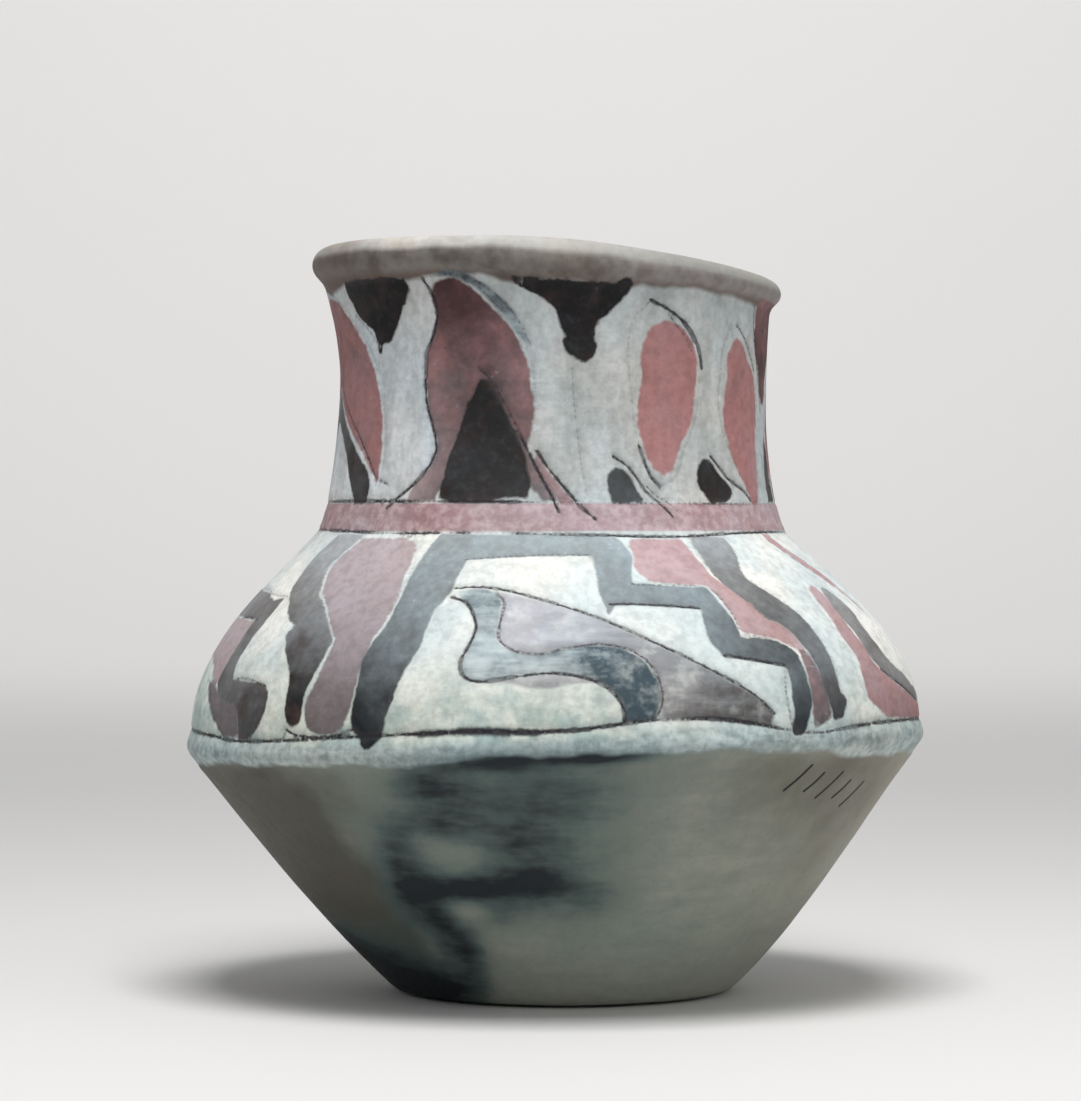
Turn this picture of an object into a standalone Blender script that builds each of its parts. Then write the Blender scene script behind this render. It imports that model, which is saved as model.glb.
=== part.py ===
"""A hand-built pottery vase with a wide shoulder, a tall neck and a rolled lip.

The vase is one fired piece: a hollow turned wall, bent a little out of true as hand-built pots are.
Lengths are in metres, +Z is up, and the origin is on the ground under the middle of the pot's box.
An angle of 0 degrees faces -Y, the front, and 90 degrees faces +X.
"""

import math

import bmesh
import bpy
from mathutils import Vector

# Radii of the outside, from the foot up.
FOOT_RADIUS = 0.0500
RIDGE_FOOT_RADIUS = 0.1063
RIDGE_RADIUS = 0.1100
SHOULDER_RADIUS = 0.1088
COLLAR_FOOT_RADIUS = 0.0702
COLLAR_TOP_RADIUS = 0.0671
WAIST_RADIUS = 0.0638
LIP_FOOT_RADIUS = 0.0665
LIP_RADIUS = 0.0700

# Heights of the stretches of the wall, stacked from the foot up.
LOWER_WALL_HEIGHT = 0.0683
RIDGE_LOWER_HEIGHT = 0.0065
RIDGE_UPPER_HEIGHT = 0.0045
SHOULDER_HEIGHT = 0.0570
COLLAR_HEIGHT = 0.0083
LOWER_NECK_HEIGHT = 0.0339
UPPER_NECK_HEIGHT = 0.0270
LIP_UNDERCUT_HEIGHT = 0.0055
LIP_ROUND_HEIGHT = 0.0045

# Thicknesses of the fired clay.
WALL_THICKNESS = 0.0065
FLOOR_THICKNESS = 0.0080
LIP_THICKNESS = 0.0086

# Which way the outside runs at the ends of its stretches: 0 is outwards, 90 is up, 180 is inwards.
HEEL_DIRECTION = 40
LOWER_WALL_DIRECTION = 52
RIDGE_ROLL_DIRECTION = 72
SHOULDER_FOOT_DIRECTION = 91
SHOULDER_TOP_DIRECTION = 134
COLLAR_DIRECTION = 112
COLLAR_FOOT_DIRECTION = 122
NECK_FOOT_DIRECTION = 100
NECK_TOP_DIRECTION = 80
LIP_UNDERCUT_DIRECTION = 60
RIDGE_CREASE_DIRECTION = 110

# How far the hand-built pot is out of true.
FOOT_SHIFT = 0.0024
COLLAR_SHIFT = -0.0011
RIM_SHIFT = -0.0026
RIM_SIDE_SLANT = 0.0053
RIM_FRONT_RISE = 0.0026
RIM_WAVE = 0.0009
BELLY_FRONT_RISE = 0.0026
BELLY_WAVE = 0.0012
BELLY_WAVE_ANGLE = math.radians(40)
ROUNDNESS_ERROR = 0.0004

# How finely the form is faceted.
COLUMNS = 64
LOWER_WALL_STEPS = 9
RIDGE_STEPS = 3
SHOULDER_STEPS = 10
COLLAR_STEPS = 3
NECK_STEPS = 4
LIP_STEPS = 4
FLOOR_FILLET_STEPS = 3
CAVITY_RING_SPACING = 0.006
SHARP_ANGLE = math.radians(50)

# How far a curve follows its end headings, as a share of its chord.
SOFT_REACH = 0.36
SHOULDER_REACH = 0.345
STRAIGHT_REACH = 0.30
QUARTER_ROUND_REACH = 0.39

# How far the floor's fillet runs inwards, as a share of its drop.
FLOOR_FILLET_SHARE = 1.9
# How much nearer than a full wall a point of the cavity may come to the outside.
OFFSET_SLACK = 0.00002

CLAY_COLOUR = (0.37, 0.35, 0.29, 1.0)
CLAY_ROUGHNESS = 0.62


def heading(degrees):
    """A unit step in the wall's section, as (outwards, up)."""
    return Vector((math.cos(math.radians(degrees)), math.sin(math.radians(degrees))))


def curve(start, start_degrees, end, end_degrees, steps, reach=SOFT_REACH):
    """Points after start and up to end on a smooth curve that leaves and arrives in the given headings."""
    start, end = Vector(start), Vector(end)
    handle = (end - start).length * reach
    leaving = start + heading(start_degrees) * handle
    arriving = end - heading(end_degrees) * handle
    points = []
    for step in range(1, steps + 1):
        t = step / steps
        s = 1 - t
        points.append(s**3 * start + 3 * s * s * t * leaving + 3 * s * t * t * arriving + t**3 * end)
    return points


def stack_of_heights():
    """The heights at which the stretches of the wall meet, from the foot up."""
    spans = (
        LOWER_WALL_HEIGHT,
        RIDGE_LOWER_HEIGHT,
        RIDGE_UPPER_HEIGHT,
        SHOULDER_HEIGHT,
        COLLAR_HEIGHT,
        LOWER_NECK_HEIGHT,
        UPPER_NECK_HEIGHT,
        LIP_UNDERCUT_HEIGHT,
        LIP_ROUND_HEIGHT,
    )
    heights = [0.0]
    for span in spans:
        heights.append(heights[-1] + span)
    return heights


def wall_path(heights):
    """The outside of the section from the foot's edge to where the lip starts."""
    _, ridge_foot, ridge, shoulder_foot, collar_foot, collar_top, waist, lip_foot, _, _ = heights
    ridge_start = Vector((RIDGE_FOOT_RADIUS, ridge_foot))
    ridge_top = Vector((RIDGE_RADIUS, ridge))
    shoulder_start = Vector((SHOULDER_RADIUS, shoulder_foot))
    collar_start = Vector((COLLAR_FOOT_RADIUS, collar_foot))
    neck_start = Vector((COLLAR_TOP_RADIUS, collar_top))
    neck_waist = Vector((WAIST_RADIUS, waist))
    lip_start = Vector((LIP_FOOT_RADIUS, lip_foot))
    path = [Vector((FOOT_RADIUS, 0))]
    path += curve(
        path[-1],
        HEEL_DIRECTION,
        ridge_start,
        LOWER_WALL_DIRECTION,
        LOWER_WALL_STEPS,
        STRAIGHT_REACH,
    )
    path += curve(ridge_start, RIDGE_ROLL_DIRECTION, ridge_top, 90, RIDGE_STEPS)
    path += curve(ridge_top, 90, shoulder_start, RIDGE_CREASE_DIRECTION, RIDGE_STEPS)
    path += curve(
        shoulder_start,
        SHOULDER_FOOT_DIRECTION,
        collar_start,
        SHOULDER_TOP_DIRECTION,
        SHOULDER_STEPS,
        SHOULDER_REACH,
    )
    path += curve(collar_start, COLLAR_FOOT_DIRECTION, neck_start, COLLAR_DIRECTION, COLLAR_STEPS)
    path += curve(neck_start, NECK_FOOT_DIRECTION, neck_waist, 90, NECK_STEPS)
    path += curve(neck_waist, 90, lip_start, NECK_TOP_DIRECTION, NECK_STEPS)
    return path


def lip_path(heights):
    """The rolled lip, from its undercut outside, over the top and down to its inner edge."""
    lip_foot, lip, top = heights[-3:]
    outermost = Vector((LIP_RADIUS, lip))
    crest = Vector((LIP_RADIUS - LIP_THICKNESS / 2, top))
    innermost = Vector((LIP_RADIUS - LIP_THICKNESS, lip))
    path = curve((LIP_FOOT_RADIUS, lip_foot), LIP_UNDERCUT_DIRECTION, outermost, 90, LIP_STEPS)
    path += curve(outermost, 90, crest, 180, LIP_STEPS, QUARTER_ROUND_REACH)
    path += curve(crest, 180, innermost, 270, LIP_STEPS, QUARTER_ROUND_REACH)
    return path


def distance_to_path(point, path):
    """The shortest distance from a point to the straight runs between the path's points."""
    shortest = math.inf
    for start, end in zip(path, path[1:]):
        run = end - start
        share = max(0.0, min(1.0, (point - start).dot(run) / run.length_squared))
        shortest = min(shortest, (point - start - run * share).length)
    return shortest


def cavity_path(wall):
    """The inside of the section, a wall's thickness in from the outside, from the neck down to the floor."""
    inside = []
    for before, here, after in zip(wall, wall[1:], wall[2:]):
        along = (after - before).normalized()
        inside.append(here + Vector((-along.y, along.x)) * WALL_THICKNESS)
    clear = [p for p in inside if distance_to_path(p, wall) > WALL_THICKNESS - OFFSET_SLACK]
    clear = [p for p in clear if p.y > FLOOR_THICKNESS and p.x > 0]
    kept = [clear[-1]]
    for point in reversed(clear):
        if (point - kept[-1]).length > CAVITY_RING_SPACING:
            kept.append(point)
    wall_end, wall_before = kept[-1], kept[-2]
    down = math.degrees(math.atan2(*(wall_end - wall_before).yx))
    drop = wall_end.y - FLOOR_THICKNESS
    floor_edge = (wall_end.x - FLOOR_FILLET_SHARE * drop, FLOOR_THICKNESS)
    return kept + curve(wall_end, down, floor_edge, 180, FLOOR_FILLET_STEPS)


def smooth_share(value, low, high):
    """0 below low, 1 above high, and smooth between them."""
    t = max(0.0, min(1.0, (value - low) / (high - low)))
    return t * t * (3 - 2 * t)


def placed(angle, radius, height, heights):
    """The point of the pot at this angle for a point of its section, with the hand-built bends put in."""
    ridge, collar_top, waist, top = heights[2], heights[5], heights[6], heights[-1]
    rim_share = max(0.0, (height - collar_top) / (top - collar_top))
    foot_share = 1 - smooth_share(height, 0, ridge)
    collar_share = smooth_share(height, ridge, collar_top) - smooth_share(height, collar_top, top)
    belly_share = smooth_share(height, 0, ridge) * (1 - smooth_share(height, ridge, collar_top))
    turned = angle - BELLY_WAVE_ANGLE
    rim_lift = RIM_FRONT_RISE * math.cos(angle) - RIM_SIDE_SLANT * math.sin(angle)
    rim_lift += RIM_WAVE * math.cos(2 * angle)
    belly_lift = BELLY_FRONT_RISE * math.cos(turned) + BELLY_WAVE * math.cos(2 * turned)
    bulge = ROUNDNESS_ERROR * math.cos(2 * turned) * belly_share
    shift = foot_share * FOOT_SHIFT + collar_share * COLLAR_SHIFT
    shift += smooth_share(height, waist, top) * RIM_SHIFT
    x = (radius + bulge) * math.sin(angle) + shift
    y = -(radius + bulge) * math.cos(angle)
    return Vector((x, y, height + rim_share * rim_lift + belly_share * belly_lift))


def turned_mesh(name, path, heights):
    """A closed mesh of the section path turned about the axis, with its two ends closed on the axis."""
    mesh = bmesh.new()
    rings = []
    for point in path:
        angles = [2 * math.pi * column / COLUMNS for column in range(COLUMNS)]
        rings.append([mesh.verts.new(placed(a, point.x, point.y, heights)) for a in angles])
    for lower, upper in zip(rings, rings[1:]):
        for column in range(COLUMNS):
            beside = (column + 1) % COLUMNS
            mesh.faces.new((lower[column], lower[beside], upper[beside], upper[column]))
    for ring, facing_down in ((rings[0], True), (rings[-1], False)):
        middle = mesh.verts.new(sum((v.co for v in ring), Vector()) / COLUMNS)
        for column in range(COLUMNS):
            edge = (ring[column], ring[(column + 1) % COLUMNS])
            mesh.faces.new((middle, *reversed(edge)) if facing_down else (middle, *edge))
    bmesh.ops.recalc_face_normals(mesh, faces=mesh.faces)
    data = bpy.data.meshes.new(name)
    mesh.to_mesh(data)
    mesh.free()
    data.shade_smooth()
    data.set_sharp_from_angle(angle=SHARP_ANGLE)
    return data


def fired_clay():
    """Unglazed, smoothed clay in its mid tone."""
    material = bpy.data.materials.new("fired_clay")
    material.use_nodes = True
    shader = material.node_tree.nodes["Principled BSDF"]
    shader.inputs["Base Color"].default_value = CLAY_COLOUR
    shader.inputs["Roughness"].default_value = CLAY_ROUGHNESS
    shader.inputs["Metallic"].default_value = 0.0
    return material


def build_vase():
    heights = stack_of_heights()
    wall = wall_path(heights)
    section = wall + lip_path(heights) + cavity_path(wall)
    data = turned_mesh("vase", section, heights)
    data.materials.append(fired_clay())
    vase = bpy.data.objects.new("vase", data)
    bpy.context.scene.collection.objects.link(vase)


def main():
    for old in list(bpy.data.objects):
        bpy.data.objects.remove(old)
    build_vase()


main()
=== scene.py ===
"""Looks of a hand-built, painted pottery vase: its fine wall with pressed lines, its paints, floor and light.

The vase is one piece. Lengths are in millimetres until a mesh is made, and metres from there on. A place on
the wall is an angle in degrees, 0 at the front and 90 on the right, and a height up the wall's true section,
before the bends that put the hand-built pot out of true.
"""

import math

import bpy
import numpy as np
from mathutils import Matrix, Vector, noise
from mathutils.geometry import delaunay_2d_cdt
from mathutils.kdtree import KDTree


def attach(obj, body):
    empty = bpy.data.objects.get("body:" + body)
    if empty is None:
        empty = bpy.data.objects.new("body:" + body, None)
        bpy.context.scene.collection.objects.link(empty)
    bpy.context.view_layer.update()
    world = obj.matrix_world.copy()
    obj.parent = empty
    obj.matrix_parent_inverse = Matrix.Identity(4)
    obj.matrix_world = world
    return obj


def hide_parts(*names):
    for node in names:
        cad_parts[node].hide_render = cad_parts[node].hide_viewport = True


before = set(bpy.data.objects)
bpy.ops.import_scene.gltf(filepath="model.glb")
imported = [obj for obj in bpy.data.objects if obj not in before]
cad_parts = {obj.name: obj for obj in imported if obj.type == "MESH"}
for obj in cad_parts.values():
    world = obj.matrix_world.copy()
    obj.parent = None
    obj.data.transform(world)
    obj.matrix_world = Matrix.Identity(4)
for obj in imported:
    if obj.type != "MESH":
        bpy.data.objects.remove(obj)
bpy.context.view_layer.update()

MM = 0.001

# The wall's section and bends, as the solid has them.
FOOT_RADIUS = 50.0
RIDGE_FOOT_RADIUS = 106.3
RIDGE_RADIUS = 110.0
SHOULDER_RADIUS = 108.8
COLLAR_FOOT_RADIUS = 70.2
COLLAR_TOP_RADIUS = 67.1
WAIST_RADIUS = 63.8
LIP_FOOT_RADIUS = 66.5
LIP_RADIUS = 70.0
LIP_THICKNESS = 8.6
WALL_THICKNESS = 6.5
FLOOR_THICKNESS = 8.0
RIDGE_FOOT = 68.3
RIDGE = 74.8
SHOULDER_FOOT = 79.3
COLLAR_FOOT = 136.3
COLLAR_TOP = 144.6
WAIST = 178.5
LIP_FOOT = 205.5
LIP = 211.0
TOP = 215.5
FOOT_SHIFT = 2.4
COLLAR_SHIFT = -1.1
RIM_SHIFT = -2.6
RIM_SIDE_SLANT = 5.3
RIM_FRONT_RISE = 2.6
RIM_WAVE = 0.9
BELLY_FRONT_RISE = 2.6
BELLY_WAVE = 1.2
BELLY_WAVE_ANGLE = math.radians(40)
ROUNDNESS_ERROR = 0.4

# The lip is thicker at the front and stands higher on the right than its even slope: angle, and rise in mm
# at its foot and at its crest.
LIP_DRIFT_FOOT = 199.0
LIP_DRIFT = (
    (-180, 0, 0), (-110, 0, 0), (-80, -0.5, 0), (-60, -0.9, 0), (-38, -1.1, 0), (-24, -0.8, 0.1),
    (-11, -1.2, 0.8), (0, -1.6, 1), (11, -1.5, 1.2), (20, -0.8, 1), (28, 0.1, 0.8), (41, 1.1, 0.7),
    (55, 1, 0.7), (75, 1.2, 1), (95, 1.5, 1.5), (120, 0.8, 0.9), (145, 0, 0), (180, 0, 0),
)

# A pressed line's groove, the brow beside it and the twist of the cord that made it.
GROOVE_HALF_WIDTH = 0.62
BROW_SHARE = 0.14
BROW_PLACE = 1.25
BROW_HALF_WIDTH = 0.5
CORD_TWIST = 1.9
# Its beads: their share where the dirt is faint, what dark dirt takes off it, and their drift along the line
# (how far, over how long). Last, how the line itself swells (least, swing, over how long).
BEAD_SHARE = 0.3
BEAD_LOSS = 0.2
BEAD_DRIFT = (0.5, 3.1)
LINE_SWELL = (0.78, 0.22, 5.3)

# Dents of the hand-smoothed wall: how far apart and how deep.
DENTS = ((34.0, 0.42), (13.0, 0.2), (5.0, 0.07))
INSIDE_DENTS = 0.4

# The visual mesh.
HEEL_ROUND = 1.6
COLUMNS = 300
WALL_RING_SPACING = 2.0
CAVITY_RING_SPACING = 5.0
FINE_SPACING = 1.45
LINE_SPACING = 0.75
LINE_OFFSETS = (0.0, -0.5, 0.5, -1.05, 1.05)
LINE_REACH = 3.0
OUTLINE_SPACING = 1.3
CLOSEST = 0.36
KEPT_CLEAR = FINE_SPACING * 0.62
ROW_SPACING = FINE_SPACING * 0.87
LIP_RING_SPACING = 0.9
SLOPE_REACH = 0.8
# About how long a degree is on the wall, for the spacing of a smooth line's points.
MM_PER_DEGREE = 1.5
PATH_STEP = 1.0
# The radius at which the wall is laid flat for its triangles.
FLAT_RADIUS = 90.0
PAINTED_FOOT = 53.0
PAINTED_TOP = 206.4

# How far the marks reach in the distance fields that the paint's shader reads.
FIELD_REACH = 6.0

# What vertices keep clear of the painted wall's ends (mm) and of its seam (radians, for marks and the grid).
EDGE_CLEAR = 0.4
SEAM_CLEAR = 0.006
GRID_SEAM_CLEAR = 0.008

# How far a line reaches past its last point, how fast a stain fades, and where the dents calm at the lip.
END_REACH = 0.6
STAIN_FADE = 0.8
DENTS_CALM = (LIP_FOOT - 6, LIP_FOOT + 3)

# What the bare inside and underside hold as slip, smoke and height. These heights only tell them apart.
INSIDE_GROUND = (-FIELD_REACH, 0.1, 230.0)
UNDERSIDE_GROUND = (-FIELD_REACH, 0.3, -5.0)
NO_PAINT = (-FIELD_REACH, 0.5, 0.0)
NO_LINE = (LINE_REACH, 0.0, 0.0)

RING_ANGLES = -math.pi + 2 * math.pi * np.arange(COLUMNS) / COLUMNS
UNDERSIDE_RINGS = (0.8, 0.55, 0.3)
INNER_FLOOR_RINGS = (0.75, 0.5, 0.25)

CORNER = "corner"


def heading(degrees):
    """A unit step in the wall's section, as (outwards, up)."""
    return np.array((math.cos(math.radians(degrees)), math.sin(math.radians(degrees))))


def curve(start, start_degrees, end, end_degrees, steps, reach=0.36):
    """Points after start and up to end on a smooth curve that leaves and arrives in the given headings."""
    start, end = np.array(start, float), np.array(end, float)
    handle = np.linalg.norm(end - start) * reach
    t = (np.arange(steps) + 1)[:, None] / steps
    s = 1 - t
    leaving = start + heading(start_degrees) * handle
    arriving = end - heading(end_degrees) * handle
    return s**3 * start + 3 * s * s * t * leaving + 3 * s * t * t * arriving + t**3 * end


def outer_section():
    """The outside from the foot's edge to the crest of the lip, as (radius, height) rows."""
    heel = (FOOT_RADIUS - HEEL_ROUND, 0.0)
    heel_top = (FOOT_RADIUS + HEEL_ROUND * 0.9, HEEL_ROUND * 0.8)
    runs = (
        (heel, 8, heel_top, 42, 8),
        (heel_top, 42, (RIDGE_FOOT_RADIUS, RIDGE_FOOT), 52, 90, 0.30),
        ((RIDGE_FOOT_RADIUS, RIDGE_FOOT), 72, (RIDGE_RADIUS, RIDGE), 90, 16),
        ((RIDGE_RADIUS, RIDGE), 90, (SHOULDER_RADIUS, SHOULDER_FOOT), 110, 12),
        ((SHOULDER_RADIUS, SHOULDER_FOOT), 91, (COLLAR_FOOT_RADIUS, COLLAR_FOOT), 134, 100, 0.345),
        ((COLLAR_FOOT_RADIUS, COLLAR_FOOT), 122, (COLLAR_TOP_RADIUS, COLLAR_TOP), 112, 16),
        ((COLLAR_TOP_RADIUS, COLLAR_TOP), 100, (WAIST_RADIUS, WAIST), 90, 50),
        ((WAIST_RADIUS, WAIST), 90, (LIP_FOOT_RADIUS, LIP_FOOT), 80, 40),
        ((LIP_FOOT_RADIUS, LIP_FOOT), 60, (LIP_RADIUS, LIP), 90, 14),
        ((LIP_RADIUS, LIP), 90, (LIP_RADIUS - LIP_THICKNESS / 2, TOP), 180, 14, 0.39),
    )
    return np.vstack([np.array([heel])] + [curve(*run) for run in runs])


def inner_section(outer):
    """The inside from the crest of the lip down to the middle of the floor, as (radius, height) rows."""
    crest = outer[-1]
    lip_edge = (LIP_RADIUS - LIP_THICKNESS, LIP)
    roll = curve(crest, 180, lip_edge, 270, 10, 0.39)
    wall = outer[outer[:, 1] < LIP_FOOT]
    along = np.gradient(wall, axis=0)
    inward = np.stack((-along[:, 1], along[:, 0]), 1) / np.linalg.norm(along, axis=1)[:, None]
    offset = wall + inward * WALL_THICKNESS
    clear = []
    for point in offset[::-1]:
        nearest = np.min(np.linalg.norm(wall - point, axis=1))
        if nearest > WALL_THICKNESS - 0.05 and point[1] > FLOOR_THICKNESS + 3:
            clear.append(point)
    kept = [roll[-1]]
    for point in clear:
        if np.linalg.norm(point - kept[-1]) > CAVITY_RING_SPACING and point[1] < kept[-1][1]:
            kept.append(point)
    down = math.degrees(math.atan2(kept[-1][1] - kept[-2][1], kept[-1][0] - kept[-2][0]))
    drop = kept[-1][1] - FLOOR_THICKNESS
    fillet = curve(kept[-1], down, (kept[-1][0] - 1.9 * drop, FLOOR_THICKNESS), 180, 5)
    floor = [(fillet[-1][0] * share, FLOOR_THICKNESS) for share in INNER_FLOOR_RINGS]
    return np.vstack((roll, np.array(kept[1:]), fillet, np.array(floor)))


OUTER = outer_section()
INNER = inner_section(OUTER)
OUTER_RUN = np.concatenate(([0.0], np.cumsum(np.linalg.norm(np.diff(OUTER, axis=0), axis=1))))


def run_at(height):
    """The distance along the outside's section, from the foot's edge, at a height."""
    return np.interp(height, OUTER[:, 1], OUTER_RUN)


def radius_at_run(run):
    return np.interp(run, OUTER_RUN, OUTER[:, 0])


def height_at_run(run):
    return np.interp(run, OUTER_RUN, OUTER[:, 1])


def smooth_share(value, low, high):
    """0 below low, 1 above high, and smooth between them."""
    t = np.clip((value - low) / (high - low), 0.0, 1.0)
    return t * t * (3 - 2 * t)


def placed(angle, radius, height):
    """Points of the pot, as rows of x, y and z, for points of its section at angles in radians."""
    rim_share = np.maximum(0.0, (height - COLLAR_TOP) / (TOP - COLLAR_TOP))
    foot_share = 1 - smooth_share(height, 0, RIDGE)
    collar_share = smooth_share(height, RIDGE, COLLAR_TOP) - smooth_share(height, COLLAR_TOP, TOP)
    belly_share = smooth_share(height, 0, RIDGE) * (1 - smooth_share(height, RIDGE, COLLAR_TOP))
    turned = angle - BELLY_WAVE_ANGLE
    rim_lift = RIM_FRONT_RISE * np.cos(angle) - RIM_SIDE_SLANT * np.sin(angle) + RIM_WAVE * np.cos(2 * angle)
    belly_lift = BELLY_FRONT_RISE * np.cos(turned) + BELLY_WAVE * np.cos(2 * turned)
    bulge = ROUNDNESS_ERROR * np.cos(2 * turned) * belly_share
    shift = foot_share * FOOT_SHIFT + collar_share * COLLAR_SHIFT
    shift = shift + smooth_share(height, WAIST, TOP) * RIM_SHIFT
    x = (radius + bulge) * np.sin(angle) + shift
    y = -(radius + bulge) * np.cos(angle)
    turns, foot_rise, crest_rise = np.array(LIP_DRIFT).T
    degrees = np.degrees(wrapped(angle))
    foot_rise, crest_rise = np.interp(degrees, turns, foot_rise), np.interp(degrees, turns, crest_rise)
    drift = foot_rise * smooth_share(height, LIP_DRIFT_FOOT, LIP_FOOT)
    drift = drift + (crest_rise - foot_rise) * smooth_share(height, LIP_FOOT, TOP)
    return np.stack((x, y, height + rim_share * rim_lift + belly_share * belly_lift + drift), -1)


def on_wall(angle, run):
    """Points of the smooth outside and its outward directions, at angles in radians and runs up it."""
    radius, height = radius_at_run(run), height_at_run(run)
    above, below = run + SLOPE_REACH, run - SLOPE_REACH
    radius_step = radius_at_run(above) - radius_at_run(below)
    height_step = height_at_run(above) - height_at_run(below)
    length = np.hypot(radius_step, height_step)
    out = np.stack((np.sin(angle) * height_step, -np.cos(angle) * height_step, -radius_step), -1)
    return placed(angle, radius, height), out / length[:, None]


def smooth_path(points, closed=False):
    """Points about a millimetre apart on a smooth line through the given ones, with the marked corners."""
    marks = [len(p) > 2 and p[2] == CORNER for p in points]
    places = [np.array(p[:2], float) for p in points]
    if closed:
        first = marks.index(True) if any(marks) else 0
        places = places[first:] + places[:first]
        marks = marks[first:] + marks[:first]
        if not any(marks):
            return smooth_ring(places)
        places.append(places[0])
        marks.append(True)
    else:
        marks[0] = marks[-1] = True
    corners = [i for i, mark in enumerate(marks) if mark]
    path = []
    for start, end in zip(corners, corners[1:]):
        run = places[start : end + 1]
        knots = [2 * run[0] - run[1]] + run + [2 * run[-1] - run[-2]]
        path += spline_points(knots)
    if not closed:
        path.append(places[-1])
    return np.array(path)


def smooth_ring(places):
    """A smooth closed line through the places."""
    return np.array(spline_points([places[-1]] + places + places[:2]))


def spline_points(knots):
    """Catmull-Rom points between the second knot and the last but one, which is left out."""
    points = []
    for a, b, c, d in zip(knots, knots[1:], knots[2:], knots[3:]):
        count = max(1, int(round(np.linalg.norm((c - b) * (MM_PER_DEGREE, 1.0)) / PATH_STEP)))
        for t in np.arange(count) / count:
            square, cube = 2 * a - 5 * b + 4 * c - d, 3 * b - a - 3 * c + d
            points.append(0.5 * (2 * b + (c - a) * t + square * t**2 + cube * t**3))
    return points


# The painted design. Every patch has its paint, how deep the paint is at its foot and at its top (each as one
# number or as a row of them from left to right), a second tone (greyness of a red, blueness of a black,
# brownness of a wash, the same all over or one at the foot and one at the top), and its outline.

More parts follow.
